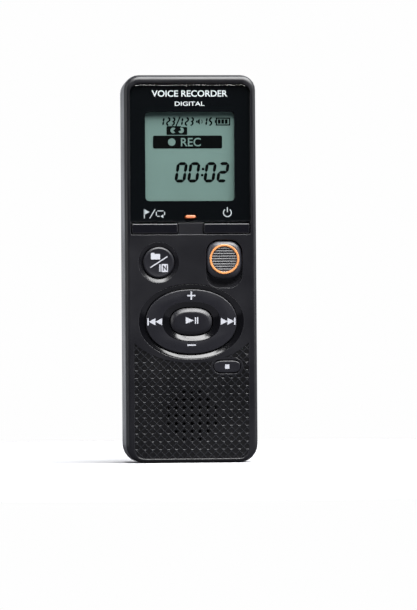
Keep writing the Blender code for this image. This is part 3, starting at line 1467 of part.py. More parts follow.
def make_cells(finishes):
    low = COMPARTMENT_BOTTOM + CONTACT_STACK
    left = loft("battery_left", cell_layers(), finishes["cell"], "Z")
    left.location = (-CELL_X, CELL_Y, low + SPRING_LENGTH + TOUCH_GAP)
    smooth(left)
    right = bpy.data.objects.new("battery_right", left.data)
    bpy.context.scene.collection.objects.link(right)
    right.location = (CELL_X, CELL_Y, low + CELL_LENGTH)
    right.rotation_euler = (math.pi, 0, 0)


def spring_points(start, direction):
    """A tapered coil, wide at its contact plate and narrow at the cell."""
    count = int(SPRING_TURNS * 14)
    points = []
    for step in range(count + 1):
        share = step / count
        radius = SPRING_WIDE_RADIUS + (SPRING_NARROW_RADIUS - SPRING_WIDE_RADIUS) * share
        angle = 2 * math.pi * SPRING_TURNS * share
        rise = SPRING_WIRE_RADIUS + (SPRING_LENGTH - 2 * SPRING_WIRE_RADIUS) * share
        points.append(
            (
                start[0] + radius * math.cos(angle),
                start[1] + radius * math.sin(angle),
                start[2] + direction * rise,
            )
        )
    return points


def make_contacts(finishes):
    half = COMPARTMENT_HALF_WIDTH - CONTACT_SIDE_GAP
    low = COMPARTMENT_BOTTOM + TOUCH_GAP + CONTACT_THICKNESS / 2
    link = ((2 * half, CONTACT_HEIGHT, CONTACT_THICKNESS), (0, 0, 0))
    boxes("battery_link_contact", [link], finishes["steel"], (0, CELL_Y, low))
    high = COMPARTMENT_TOP - TOUCH_GAP - CONTACT_THICKNESS / 2
    for side, name in ((-1, "battery_plus_contact"), (1, "battery_minus_contact")):
        at = (side * CELL_X, CELL_Y, high)
        width = CELL_DIAMETER - 3 * CONTACT_SIDE_GAP
        leg_end = BOARD_BACK_Y + TOUCH_GAP - CELL_Y
        outline = [
            (width / 2, CONTACT_HEIGHT / 2),
            (-width / 2, CONTACT_HEIGHT / 2),
            (-width / 2, -CONTACT_HEIGHT / 2),
            (-CONTACT_LEG_WIDTH / 2, -CONTACT_HEIGHT / 2),
            (-CONTACT_LEG_WIDTH / 2, leg_end),
            (CONTACT_LEG_WIDTH / 2, leg_end),
            (CONTACT_LEG_WIDTH / 2, -CONTACT_HEIGHT / 2),
            (width / 2, -CONTACT_HEIGHT / 2),
        ]
        layers = [(z, outline) for z in (-CONTACT_THICKNESS / 2, CONTACT_THICKNESS / 2)]
        loft(name, layers, finishes["steel"], "Z", at)
    lower = spring_points((-CELL_X, CELL_Y, COMPARTMENT_BOTTOM + CONTACT_STACK), 1)
    wire("battery_spring_lower", lower, SPRING_WIRE_RADIUS, finishes["steel"])
    upper = spring_points((CELL_X, CELL_Y, COMPARTMENT_TOP - CONTACT_STACK), -1)
    wire("battery_spring_upper", upper, SPRING_WIRE_RADIUS, finishes["steel"])


# Screws


def screw(name, radius, head_radius, head_height, length, finish, at):
    """A pan-head screw pointing to -Y. Its origin is under its head."""
    layers = [
        (-length, circle(radius * SCREW_POINT, 12)),
        (-length + radius, circle(radius, 12)),
        (0, circle(radius, 12)),
        (0, circle(head_radius, 12)),
        (head_height * SCREW_HEAD_WALL, circle(head_radius, 12)),
        (head_height, circle(head_radius * SCREW_CROWN, 12)),
    ]
    obj = loft(name, layers, finish, at=at)
    arm = head_radius * 1.1
    x, y, z = at
    middle = y + head_height
    slots = [
        ((arm, 2 * CROSS_DEPTH, CROSS_WIDTH), (x, middle, z)),
        ((CROSS_WIDTH, 2 * CROSS_DEPTH - CROSS_STEP, arm), (x, middle, z)),
    ]
    for number, slot in enumerate(slots):
        cut(obj, boxes(f"{name}_slot_{number}", [slot]))
    return obj


def make_screws(finishes):
    seat_y = BACK_FACE_Y - HEAD_SEAT + TOUCH_GAP
    for number, (x, z) in enumerate(boss_places(), start=1):
        screw(
            f"case_screw_{number}",
            SCREW_RADIUS,
            SCREW_HEAD_RADIUS,
            SCREW_HEAD_HEIGHT,
            SCREW_LENGTH,
            finishes["steel"],
            (x, seat_y, z),
        )
    for number, (x, z) in enumerate(board_boss_places(), start=1):
        screw(
            f"board_screw_{number}",
            BOARD_SCREW_RADIUS,
            BOARD_SCREW_HEAD,
            BOARD_SCREW_HEAD_HEIGHT,
            BOARD_SCREW_LENGTH,
            finishes["steel"],
            (x, BOARD_BACK_Y + TOUCH_GAP, z),
        )


def gather_under(name):
    """Parents every piece that has no parent to one empty at the origin."""
    whole = bpy.data.objects.new(name, None)
    bpy.context.scene.collection.objects.link(whole)
    for obj in list(bpy.context.scene.objects):
        if obj is not whole and obj.parent is None:
            obj.parent = whole


def main():
    for obj in list(bpy.data.objects):
        bpy.data.objects.remove(obj)
    finishes = make_finishes()
    make_front_cover(finishes)
    make_window(finishes)
    make_display(finishes)
    make_lamp(finishes)
    make_bar_keys(finishes)
    make_round_keys(finishes)
    make_direction_pad(finishes)
    make_keypad_mat(finishes)
    make_domes(finishes)
    make_record_slide(finishes)
    make_board(finishes)
    make_jacks(finishes)
    make_microphone(finishes)
    make_usb_socket(finishes)
    make_speaker(finishes)
    make_rear_cover(finishes)
    make_door(finishes)
    make_cells(finishes)
    make_contacts(finishes)
    make_screws(finishes)
    gather_under("voice_recorder")


main()
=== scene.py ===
import json
import math

import bmesh
import bpy
from mathutils import Matrix, Vector


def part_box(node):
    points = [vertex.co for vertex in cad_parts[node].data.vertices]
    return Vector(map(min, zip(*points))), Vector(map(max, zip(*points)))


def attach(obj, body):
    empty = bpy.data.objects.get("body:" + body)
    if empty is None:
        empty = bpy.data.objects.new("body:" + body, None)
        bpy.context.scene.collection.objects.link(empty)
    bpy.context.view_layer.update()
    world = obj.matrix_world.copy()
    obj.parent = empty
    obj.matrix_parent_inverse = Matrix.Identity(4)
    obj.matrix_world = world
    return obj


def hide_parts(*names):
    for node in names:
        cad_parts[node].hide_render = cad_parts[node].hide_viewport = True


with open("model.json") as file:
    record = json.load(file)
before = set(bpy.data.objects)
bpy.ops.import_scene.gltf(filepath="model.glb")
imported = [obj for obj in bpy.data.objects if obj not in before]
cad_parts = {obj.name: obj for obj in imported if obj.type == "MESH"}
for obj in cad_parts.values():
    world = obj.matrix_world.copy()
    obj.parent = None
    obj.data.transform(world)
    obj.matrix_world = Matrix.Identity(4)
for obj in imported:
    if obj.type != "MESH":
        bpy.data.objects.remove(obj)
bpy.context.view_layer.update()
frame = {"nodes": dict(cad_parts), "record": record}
print("frame loaded:", len(frame["nodes"]), "CAD nodes")

mm = 0.001
bodyOf = {}
for bodyName, members in frame["record"]["behaviour"]["bodies"].items():
    for member in members:
        bodyOf[member] = bodyName


def centreOf(node):
    low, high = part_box(node)
    return (low + high) / 2


def sizeOf(node):
    low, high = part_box(node)
    return high - low


# where the main pieces are, read from the frame
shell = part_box("front_cover")
faceY = shell[0].y  # front face of the case
halfWidth = shell[1].x
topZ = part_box("rear_cover")[1].z
padAt = centreOf("direction_pad")
playAt = centreOf("play_button")
folderAt = centreOf("folder_button")
stopAt = centreOf("stop_button")
slideRingAt = centreOf("record_slide_ring")
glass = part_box("display_window")
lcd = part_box("display_panel")


# an sRGB hex colour as the linear one that a node takes
def linear(code):
    parts = [int(code[i:i + 2], 16) / 255 for i in (1, 3, 5)]
    made = [p / 12.92 if p <= 0.04045 else ((p + 0.055) / 1.055) ** 2.4 for p in parts]
    return (*made, 1.0)


def addNode(tree, kind, settings=None, links=None):
    made = tree.nodes.new(kind)
    for key, value in (settings or {}).items():
        if isinstance(key, int) or key in made.inputs:
            made.inputs[key].default_value = value
        else:
            setattr(made, key, value)
    for key, source in (links or {}).items():
        tree.links.new(source, made.inputs[key])
    return made


def startMaterial(name):
    material = bpy.data.materials.new(name)
    material.use_nodes = True
    tree = material.node_tree
    tree.nodes.clear()
    place = addNode(tree, "ShaderNodeTexCoord").outputs["Object"]
    return material, tree, place


def endMaterial(tree, shader):
    addNode(tree, "ShaderNodeOutputMaterial", links={"Surface": shader})


# noise whose features are about sizeMm across
def grainOf(tree, place, sizeMm, detail=2.0):
    return addNode(tree, "ShaderNodeTexNoise", {"Scale": 1 / (sizeMm * mm), "Detail": detail},
                   {"Vector": place}).outputs["Fac"]


# how near a point is to an edge that has been rubbed: 0 on flats, 1 on edges
def rubbedEdge(tree, radiusMm):
    rounded = addNode(tree, "ShaderNodeBevel", {"samples": 4, "Radius": radiusMm * mm})
    flat = addNode(tree, "ShaderNodeNewGeometry")
    dot = addNode(tree, "ShaderNodeVectorMath", {"operation": "DOT_PRODUCT"},
                  {0: rounded.outputs["Normal"], 1: flat.outputs["Normal"]})
    worn = addNode(tree, "ShaderNodeMapRange",
                   {"From Min": 1.0, "From Max": 0.86, "To Min": 0.0, "To Max": 1.0},
                   {"Value": dot.outputs["Value"]})
    return worn.outputs["Result"], rounded.outputs["Normal"]


# Moulded plastic, most of it black ABS from a spark-eroded mould: a fine matte grain that breaks the
# light into a soft sheen, handled a little smoother in patches, and paler where edges have been rubbed.
def mouldedAbs(name, shade, rough=0.46, grainMm=0.16, bump=0.18, edgeMm=0.22, wear=0.35):
    material, tree, place = startMaterial(name)
    grain = grainOf(tree, place, grainMm)
    patch = grainOf(tree, place, 14, 3.0)
    edge, rounded = rubbedEdge(tree, edgeMm)
    wearShare = addNode(tree, "ShaderNodeMath", {"operation": "MULTIPLY", 1: wear}, {0: edge})
    patchTone = addNode(tree, "ShaderNodeMapRange",
                        {"From Min": 0.3, "From Max": 0.7, "To Min": 0.9, "To Max": 1.12}, {"Value": patch})
    grainTone = addNode(tree, "ShaderNodeMapRange",
                        {"From Min": 0.3, "From Max": 0.7, "To Min": 0.86, "To Max": 1.14}, {"Value": grain})
    tone = addNode(tree, "ShaderNodeMath", {"operation": "MULTIPLY"},
                   {0: patchTone.outputs[0], 1: grainTone.outputs[0]})
    tinted = addNode(tree, "ShaderNodeVectorMath", {"operation": "SCALE", 0: linear(shade)[:3]},
                     {"Scale": tone.outputs[0]})
    colour = addNode(tree, "ShaderNodeMix", {"data_type": "RGBA", 7: linear("#5c5c63")},
                     {0: wearShare.outputs[0], 6: tinted.outputs[0]})
    roughness = addNode(tree, "ShaderNodeMapRange",
                        {"From Min": 0.3, "From Max": 0.7, "To Min": rough - 0.05, "To Max": rough + 0.06},
                        {"Value": patch})
    raised = addNode(tree, "ShaderNodeBump", {"Strength": bump, "Distance": 0.02 * mm},
                     {"Height": grain, "Normal": rounded})
    shader = addNode(tree, "ShaderNodeBsdfPrincipled", {"IOR": 1.53},
                     {"Base Color": colour.outputs[2], "Roughness": roughness.outputs[0],
                      "Normal": raised.outputs[0]})
    endMaterial(tree, shader.outputs[0])
    return material


# ABS from a polished mould: a clear shine with faint ripples, finger haze and hairline scuffs.
def polishedAbs(name, shade, rough=0.16, edgeMm=0.2, haze=0.1, wear=0.25):
    material, tree, place = startMaterial(name)
    smear = grainOf(tree, place, 4.5, 4.0)
    stretched = addNode(tree, "ShaderNodeMapping", {"Scale": (1, 1, 14), "Rotation": (0, 0.5, 0)},
                        {"Vector": place})
    scuff = grainOf(tree, stretched.outputs[0], 1.2, 2.0)
    scuffShare = addNode(tree, "ShaderNodeMapRange",
                         {"From Min": 0.62, "From Max": 0.78, "To Min": 0.0, "To Max": 0.12},
                         {"Value": scuff})
    hazed = addNode(tree, "ShaderNodeMapRange",
                    {"From Min": 0.35, "From Max": 0.7, "To Min": rough, "To Max": rough + haze},
                    {"Value": smear})
    roughness = addNode(tree, "ShaderNodeMath", {"operation": "ADD"},
                        {0: hazed.outputs[0], 1: scuffShare.outputs[0]})
    edge, rounded = rubbedEdge(tree, edgeMm)
    edgeShare = addNode(tree, "ShaderNodeMath", {"operation": "MULTIPLY", 1: wear}, {0: edge})
    colour = addNode(tree, "ShaderNodeMix", {"data_type": "RGBA", 6: linear(shade), 7: linear("#53545c")},
                     {0: edgeShare.outputs[0]})
    ripple = addNode(tree, "ShaderNodeBump", {"Strength": 0.05, "Distance": 0.05 * mm},
                     {"Height": smear, "Normal": rounded})
    shader = addNode(tree, "ShaderNodeBsdfPrincipled", {"IOR": 1.53},
                     {"Base Color": colour.outputs[2], "Roughness": roughness.outputs[0],
                      "Normal": ripple.outputs[0]})
    endMaterial(tree, shader.outputs[0])
    return material


# Clear cast acrylic: shows what is behind it, with a sharp surface shine and faint wipe marks.
def clearAcrylic(name):
    material, tree, place = startMaterial(name)
    smear = grainOf(tree, place, 6.0, 4.0)
    roughness = addNode(tree, "ShaderNodeMapRange",
                        {"From Min": 0.4, "From Max": 0.7, "To Min": 0.06, "To Max": 0.12}, {"Value": smear})
    # only the outer faces shine: a ray that leaves the sheet passes on
    fresnel = addNode(tree, "ShaderNodeFresnel", {"IOR": 1.49})
    inside = addNode(tree, "ShaderNodeNewGeometry").outputs["Backfacing"]
    outside = addNode(tree, "ShaderNodeMath", {"operation": "SUBTRACT", 0: 1.0}, {1: inside})
    share = addNode(tree, "ShaderNodeMath", {"operation": "MULTIPLY"},
                    {0: fresnel.outputs[0], 1: outside.outputs[0]})
    behind = addNode(tree, "ShaderNodeBsdfTransparent", {"Color": linear("#f6faf8")})
    shine = addNode(tree, "ShaderNodeBsdfGlossy", {"Color": (1, 1, 1, 1)},
                    {"Roughness": roughness.outputs[0]})
    both = addNode(tree, "ShaderNodeMixShader", links={0: share.outputs[0], 1: behind.outputs[0],
                                                       2: shine.outputs[0]})
    endMaterial(tree, both.outputs[0])
    return material


# Screen-printed ink: flat, with the tiny pinholes that a mesh screen leaves.
def printedInk(name, shade, holeMm=0.22, rough=0.5, thin=0.85, gleam=0.5):
    material, tree, place = startMaterial(name)
    speck = grainOf(tree, place, holeMm, 1.0)
    tone = addNode(tree, "ShaderNodeMapRange",
                   {"From Min": 0.3, "From Max": 0.55, "To Min": thin, "To Max": 1.0}, {"Value": speck})
    colour = addNode(tree, "ShaderNodeVectorMath", {"operation": "SCALE", 0: linear(shade)[:3]},
                     {"Scale": tone.outputs[0]})
    raised = addNode(tree, "ShaderNodeBump", {"Strength": 0.1, "Distance": 0.01 * mm}, {"Height": speck})
    shader = addNode(tree, "ShaderNodeBsdfPrincipled",
                     {"IOR": 1.5, "Roughness": rough, "Specular IOR Level": gleam},
                     {"Base Color": colour.outputs[0], "Normal": raised.outputs[0]})
    endMaterial(tree, shader.outputs[0])
    return material


# Reflective liquid-crystal glass: grey-green and slightly clouded, with the fine sparkle of its brushed
# rear reflector.
def liquidCrystalGlass(name):
    material, tree, place = startMaterial(name)
    sparkle = grainOf(tree, place, 0.18, 1.0)
    cloud = grainOf(tree, place, 9.0, 2.0)
    sparkleTone = addNode(tree, "ShaderNodeMapRange",
                          {"From Min": 0.3, "From Max": 0.7, "To Min": 0.95, "To Max": 1.05},
                          {"Value": sparkle})
    cloudTone = addNode(tree, "ShaderNodeMapRange",
                        {"From Min": 0.3, "From Max": 0.7, "To Min": 0.97, "To Max": 1.04},
                        {"Value": cloud})
    tone = addNode(tree, "ShaderNodeMath", {"operation": "MULTIPLY"},
                   {0: sparkleTone.outputs[0], 1: cloudTone.outputs[0]})
    colour = addNode(tree, "ShaderNodeVectorMath", {"operation": "SCALE", 0: linear("#728583")[:3]},
                     {"Scale": tone.outputs[0]})
    shader = addNode(tree, "ShaderNodeBsdfPrincipled", {"IOR": 1.5, "Roughness": 0.42},
                     {"Base Color": colour.outputs[0]})
    endMaterial(tree, shader.outputs[0])
    return material


# Translucent orange polycarbonate over a lit lamp: a warm glow under a clean surface.
def glowingLens(name):
    material, tree, place = startMaterial(name)
    cloud = grainOf(tree, place, 0.9, 2.0)
    tone = addNode(tree, "ShaderNodeMapRange",
                   {"From Min": 0.3, "From Max": 0.7, "To Min": 0.88, "To Max": 1.1}, {"Value": cloud})
    colour = addNode(tree, "ShaderNodeVectorMath", {"operation": "SCALE", 0: linear("#d98660")[:3]},
                     {"Scale": tone.outputs[0]})
    shader = addNode(tree, "ShaderNodeBsdfPrincipled",
                     {"IOR": 1.58, "Roughness": 0.22, "Emission Color": linear("#ff7a38"),
                      "Emission Strength": 0.1},
                     {"Base Color": colour.outputs[0]})
    endMaterial(tree, shader.outputs[0])
    return material


# Silicone rubber: matte and slightly dusty, with soft mottling.
def mouldedSilicone(name, shade):
    material, tree, place = startMaterial(name)
    dust = grainOf(tree, place, 1.6, 5.0)
    dustShare = addNode(tree, "ShaderNodeMapRange",
                        {"From Min": 0.45, "From Max": 0.8, "To Min": 0.0, "To Max": 0.4}, {"Value": dust})
    colour = addNode(tree, "ShaderNodeMix", {"data_type": "RGBA", 6: linear(shade), 7: linear("#7d7d80")},
                     {0: dustShare.outputs[0]})
    raised = addNode(tree, "ShaderNodeBump", {"Strength": 0.2, "Distance": 0.03 * mm}, {"Height": dust})
    shader = addNode(tree, "ShaderNodeBsdfPrincipled", {"IOR": 1.43, "Roughness": 0.72},
                     {"Base Color": colour.outputs[2], "Normal": raised.outputs[0]})
    endMaterial(tree, shader.outputs[0])
    return material


# Rolled or turned metal: fine lines along one direction, with dull spots of handling.
def workedMetal(name, shade, rough=0.28):
    material, tree, place = startMaterial(name)
    lineMm, stretch = 0.08, 12
    stretched = addNode(tree, "ShaderNodeMapping", {"Scale": (1, 1, stretch)}, {"Vector": place})
    line = grainOf(tree, stretched.outputs[0], lineMm * stretch, 2.0)
    spot = grainOf(tree, place, 2.2, 4.0)
    spotShare = addNode(tree, "ShaderNodeMapRange",
                        {"From Min": 0.5, "From Max": 0.75, "To Min": 0.0, "To Max": 0.25}, {"Value": spot})
    colour = addNode(tree, "ShaderNodeMix", {"data_type": "RGBA", 6: linear(shade), 7: linear("#6b665c")},
                     {0: spotShare.outputs[0]})
    roughness = addNode(tree, "ShaderNodeMapRange",
                        {"From Min": 0.3, "From Max": 0.7, "To Min": rough - 0.08, "To Max": rough + 0.12},
                        {"Value": line})
    raised = addNode(tree, "ShaderNodeBump", {"Strength": 0.12, "Distance": 0.01 * mm}, {"Height": line})
    shader = addNode(tree, "ShaderNodeBsdfPrincipled", {"Metallic": 1.0},
                     {"Base Color": colour.outputs[2], "Roughness": roughness.outputs[0],
                      "Normal": raised.outputs[0]})
    endMaterial(tree, shader.outputs[0])
    return material


# Fibreglass board under green solder mask: darker bare areas between raised copper runs.
def solderMask(name):
    material, tree, place = startMaterial(name)
    flat = addNode(tree, "ShaderNodeMapping", {"Rotation": (math.pi / 2, 0, 0)}, {"Vector": place})
    runs = addNode(tree, "ShaderNodeTexBrick",
                   {"Scale": 1 / (2.4 * mm), "Color1": linear("#1d6a3c"), "Color2": linear("#175a33"),
                    "Mortar": linear("#0c3d22"), "Mortar Size": 0.09, "Brick Width": 1.4,
                    "Row Height": 0.42},
                   {"Vector": flat.outputs[0]})
    weave = grainOf(tree, place, 0.5, 2.0)
    raised = addNode(tree, "ShaderNodeBump", {"Strength": 0.3, "Distance": 0.035 * mm},
                     {"Height": runs.outputs["Fac"]})
    roughness = addNode(tree, "ShaderNodeMapRange",
                        {"From Min": 0.3, "From Max": 0.7, "To Min": 0.24, "To Max": 0.4}, {"Value": weave})
    shader = addNode(tree, "ShaderNodeBsdfPrincipled", {"IOR": 1.55},
                     {"Base Color": runs.outputs["Color"], "Roughness": roughness.outputs[0],
                      "Normal": raised.outputs[0]})
    endMaterial(tree, shader.outputs[0])
    return material


# Shrink sleeve on a dry cell: dark foil with a copper-coloured band round the plus end.
def cellSleeve(name, node, plusUp):
    material, tree, place = startMaterial(name)
    low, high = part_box(node)
    length = high.z - low.z
    height = addNode(tree, "ShaderNodeSeparateXYZ", links={0: place}).outputs["Z"]
    near, far = (high.z, low.z) if plusUp else (low.z, high.z)
    share = addNode(tree, "ShaderNodeMapRange",
                    {"From Min": far, "From Max": near, "To Min": 0.0, "To Max": 1.0}, {"Value": height})
    bands = addNode(tree, "ShaderNodeValToRGB", links={0: share.outputs[0]})
    stops = ((0.0, "#8d8f92"), (0.012, "#20242c"), (0.70, "#20242c"), (0.71, "#c98a4c"),
             (0.955, "#c98a4c"), (0.965, "#9fa1a4"))
    points = bands.color_ramp.elements
    bands.color_ramp.interpolation = "CONSTANT"
    while len(points) < len(stops):
        points.new(0.5)
    for point, (position, shade) in zip(points, stops):
        point.position = position
        point.color = linear(shade)
    wrinkle = grainOf(tree, place, length / mm / 18, 3.0)
    raised = addNode(tree, "ShaderNodeBump", {"Strength": 0.15, "Distance": 0.08 * mm}, {"Height": wrinkle})
    shader = addNode(tree, "ShaderNodeBsdfPrincipled", {"Metallic": 0.55, "Roughness": 0.3},
                     {"Base Color": bands.outputs[0], "Normal": raised.outputs[0]})
    endMaterial(tree, shader.outputs[0])
    return material


# Seamless paper floor, with a hardly visible fibre.
def paperSweep(name):
    material, tree, place = startMaterial(name)
    fibre = grainOf(tree, place, 3.0, 3.0)
    tone = addNode(tree, "ShaderNodeMapRange", {"To Min": 0.98, "To Max": 1.0}, {"Value": fibre})
    colour = addNode(tree, "ShaderNodeVectorMath", {"operation": "SCALE", 0: linear("#bcbcbe")[:3]},
                     {"Scale": tone.outputs[0]})
    paper = addNode(tree, "ShaderNodeBsdfPrincipled", {"Roughness": 0.9, "Specular IOR Level": 0.1},
                    {"Base Color": colour.outputs[0]})
    # it throws little light back up at the piece
    dim = addNode(tree, "ShaderNodeBsdfDiffuse", {"Color": linear("#55555a")})
    seen = addNode(tree, "ShaderNodeLightPath").outputs["Is Camera Ray"]
    both = addNode(tree, "ShaderNodeMixShader", links={0: seen, 1: dim.outputs[0], 2: paper.outputs[0]})
    endMaterial(tree, both.outputs[0])
    return material


finish = {
    "case": mouldedAbs("mouldedBlackAbs", "#0e0e13", rough=0.35, wear=0.2),
    "keys": mouldedAbs("fineMouldedKeyAbs", "#14141a", rough=0.35, grainMm=0.12, bump=0.1, edgeMm=0.12),
    "wall": polishedAbs("polishedRecessAbs", "#09090c", rough=0.11, edgeMm=0.05, haze=0.05, wear=0.05),
    "satin": polishedAbs("satinRecessAbs", "#0c0c10", rough=0.24, edgeMm=0.05, haze=0.05, wear=0.05),
    "gloss": polishedAbs("polishedBlackAbs", "#101015", rough=0.13, haze=0.08),
    "knob": mouldedAbs("satinKnobAbs", "#2b2b31", rough=0.38, grainMm=0.12, bump=0.1),
    "rib": mouldedAbs("ribbedThumbAbs", "#1a1a1f", rough=0.24, grainMm=0.12, bump=0.06, wear=0.15),
    # the grille's ridge tops and lips take a paler tone than the case: painted light for what they catch,
    # with some real wear on their edges
    "grille": mouldedAbs("grilleRidgeAbsWearAndPaintedLight", "#1a1b20", rough=0.33, grainMm=0.14, bump=0.08, edgeMm=0.05,
                         wear=0.1),
    # the grille's pockets are near black: painted shade for the hollows
    "pocket": mouldedAbs("grillePocketAbsPaintedShade", "#040405", rough=0.31, grainMm=0.14, bump=0.1, edgeMm=0.05,
                         wear=0.0),
    "acrylic": clearAcrylic("clearWindowAcrylic"),
    "border": printedInk("blackBorderInk", "#040609", gleam=0.03),  # no shine: it is seen through the acrylic
    "print": printedInk("paleGreyInk", "#bcbec5"),
    "legend": printedInk("paleLegendInk", "#dcdee3", rough=0.6),
    "lcd": liquidCrystalGlass("liquidCrystalGlass"),
    "segment": printedInk("liquidCrystalDark", "#030405", holeMm=0.3, thin=0.8, gleam=0.05),
    "orange": polishedAbs("polishedOrangeAbs", "#da935a", rough=0.2),
    "lamp": glowingLens("glowingLampLens"),
    "silicone": mouldedSilicone("greySilicone", "#3d3d40"),
    "steel": workedMetal("zincPlatedSteel", "#b9bab8"),
    "spring": workedMetal("nickelPlatedSpringSteel", "#cfcdc6", rough=0.22),
    "darkSteel": workedMetal("blackZincScrewSteel", "#3a3a3d", rough=0.34),
    "board": solderMask("greenSolderMaskBoard"),
    "epoxy": mouldedAbs("mouldedChipEpoxy", "#1c1c1e", rough=0.55, grainMm=0.2, wear=0.2),
    "socket": mouldedAbs("mouldedSocketNylon", "#121214", rough=0.5, wear=0.15),
    "film": mouldedAbs("pressedSpeakerFilm", "#3a3a3c", rough=0.5, grainMm=0.4, wear=0.1),
    "redWire": mouldedSilicone("redWireInsulation", "#a3201c"),
    "blackWire": mouldedSilicone("blackWireInsulation", "#161617"),
    "cellLeft": cellSleeve("foilSleeveLeft", "battery_left", True),
    "cellRight": cellSleeve("foilSleeveRight", "battery_right", False),
    "floor": paperSweep("paleSweepPaper"),
}
print("materials made:", len(finish))


# makes a piece of a bmesh: it rides on its body, and may stand for CAD nodes
def finishPiece(name, bm, material, body, replaces=(), angle=38):
    mesh = bpy.data.meshes.new(name)
    bm.to_mesh(mesh)
    bm.free()
    mesh.shade_smooth()
    mesh.set_sharp_from_angle(angle=math.radians(angle))
    piece = bpy.data.objects.new(name, mesh)
    bpy.context.scene.collection.objects.link(piece)
    for one in material if isinstance(material, (list, tuple)) else [material]:
        mesh.materials.append(one)
    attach(piece, body)
    if replaces:
        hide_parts(*replaces)
    return piece


# a smoothly shaded copy of a CAD node, less any cuts, which it then stands for
def smoothCopy(node, name, material, angle=38, cuts=()):
    bm = bmesh.new()
    bm.from_mesh(frame["nodes"][node].data)
    bmesh.ops.remove_doubles(bm, verts=bm.verts, dist=0.001 * mm)
    bmesh.ops.dissolve_limit(bm, angle_limit=math.radians(0.5), verts=bm.verts, edges=bm.edges)
    if cuts:
        bm = carve(bm, cuts)
    piece = finishPiece(name, bm, material, bodyOf[node], (node,), angle)
    even = piece.modifiers.new("evenFaces", "WEIGHTED_NORMAL")
    even.keep_sharp, even.weight = True, 80
    return piece


# runs booleans on a bmesh and gives back the result as a new one
def carve(bm, tools, operation="DIFFERENCE"):
    def toObject(source, label):
        mesh = bpy.data.meshes.new(label)
        source.to_mesh(mesh)
        source.free()
        made = bpy.data.objects.new(label, mesh)
        bpy.context.scene.collection.objects.link(made)
        return made

    target = toObject(bm, "carveTarget")
    cutters = [toObject(tool, "carveTool") for tool in tools]
    for cutter in cutters:
        modifier = target.modifiers.new("carve", "BOOLEAN")
        modifier.operation, modifier.object, modifier.solver = operation, cutter, "EXACT"
    evaluated = target.evaluated_get(bpy.context.evaluated_depsgraph_get())
    result = bmesh.new()
    result.from_mesh(evaluated.to_mesh())
    for made in (target, *cutters):
        mesh = made.data
        bpy.data.objects.remove(made)
        bpy.data.meshes.remove(mesh)
    return result


def superPoint(turn, halfWide, halfHigh, power):
    c, s = math.cos(turn), math.sin(turn)
    return (math.copysign(abs(c) ** (2 / power) * halfWide, c),
            math.copysign(abs(s) ** (2 / power) * halfHigh, s))


# a closed form built loop by loop: levels are (inset, depth) from the first rim to the last, or back to
# the first when it is a ring, and an inset is one number or a pair, sideways and upwards
def stackLoops(bm, centre, shape, levels, count=96, ring=False):
    turnLayer = bm.verts.layers.float.get("turn") or bm.verts.layers.float.new("turn")
    first = bmesh.ops.create_circle(bm, cap_ends=False, segments=count, radius=1.0)["verts"]
    for vert in first:
        vert[turnLayer] = math.atan2(vert.co.y, vert.co.x)
    edges = list({edge for vert in first for edge in vert.link_edges})

    def put(verts, inset, y):
        wide, high = inset if isinstance(inset, tuple) else (inset, inset)
        for vert in verts:
            x, z = superPoint(vert[turnLayer], shape["halfWide"] - wide, shape["halfHigh"] - high,
                              shape["power"])
            vert.co = (centre[0] + x, y, centre[1] + z)

    put(first, *levels[0])
    firstEdges = list(edges)
    for level in levels[1:]:
        made = bmesh.ops.extrude_edge_only(bm, edges=edges)["geom"]
        verts = [item for item in made if isinstance(item, bmesh.types.BMVert)]
        edges = [item for item in made if isinstance(item, bmesh.types.BMEdge)]
        put(verts, *level)
    if ring:
        bmesh.ops.bridge_loops(bm, edges=firstEdges + edges)
    else:
        bmesh.ops.contextual_create(bm, geom=firstEdges)
        bmesh.ops.contextual_create(bm, geom=edges)
    bmesh.ops.recalc_face_normals(bm, faces=bm.faces)


# levels of a rounded edge, from a wall at inset 0 to a face at y = front
def roundedEdge(front, radius, steps=5):
    levels = []
    for step in range(steps + 1):
        turn = math.radians(90) * step / steps
        levels.append((radius * (1 - math.cos(turn)), front + radius * (1 - math.sin(turn))))
    return levels


# a thin plate from a few corner points on a plane facing front
def addPlate(bm, corners, y, thickness, cornerRadius=0.0, segments=4):
    verts = [bm.verts.new((x, y, z)) for x, z in corners]
    face = bm.faces.new(verts)
    made = bmesh.ops.extrude_face_region(bm, geom=[face])["geom"]
    moved = [item for item in made if isinstance(item, bmesh.types.BMVert)]
    bmesh.ops.translate(bm, verts=moved, vec=(0, thickness, 0))
    if cornerRadius:
        far = set(moved)
        upright = [edge for vert in verts for edge in vert.link_edges if edge.other_vert(vert) in far]
        bmesh.ops.bevel(bm, geom=upright, offset=cornerRadius, segments=segments, affect="EDGES",
                        profile=0.5, material=-1)


def boxCorners(x0, z0, x1, z1):
    return ((x0, z0), (x1, z0), (x1, z1), (x0, z1))


def barCorners(x0, z0, x1, z1, width):
    along = Vector((x1 - x0, z1 - z0)).normalized() * width / 2
    side = Vector((-along.y, along.x))
    return ((x0 + side.x, z0 + side.y), (x0 - side.x, z0 - side.y),
            (x1 - side.x, z1 - side.y), (x1 + side.x, z1 + side.y))


# part of a flat ring, swept round its centre
def addArc(bm, centre, radius, width, y, thickness, startDegrees, sweepDegrees, steps=24):
    inner, outer = radius - width / 2, radius + width / 2
    turn = math.radians(startDegrees)
    across = Vector((math.cos(turn), 0, math.sin(turn)))
    middle = Vector((centre[0], 0, centre[1]))
    corners = [middle + across * reach + Vector((0, depth, 0))
               for reach, depth in ((inner, y), (outer, y), (outer, y + thickness), (inner, y + thickness))]
    verts = [bm.verts.new(corner) for corner in corners]
    edges = [bm.edges.new((verts[i], verts[(i + 1) % 4])) for i in range(4)]
    whole = abs(sweepDegrees) >= 360
    bmesh.ops.spin(bm, geom=verts + edges, cent=middle, axis=(0, -1, 0), dvec=(0, 0, 0),
                   angle=math.radians(sweepDegrees), steps=steps, use_merge=whole, use_duplicate=False)
    if not whole:
        ends = [edge for edge in bm.edges if edge.is_boundary]
        bmesh.ops.holes_fill(bm, edges=ends, sides=4)


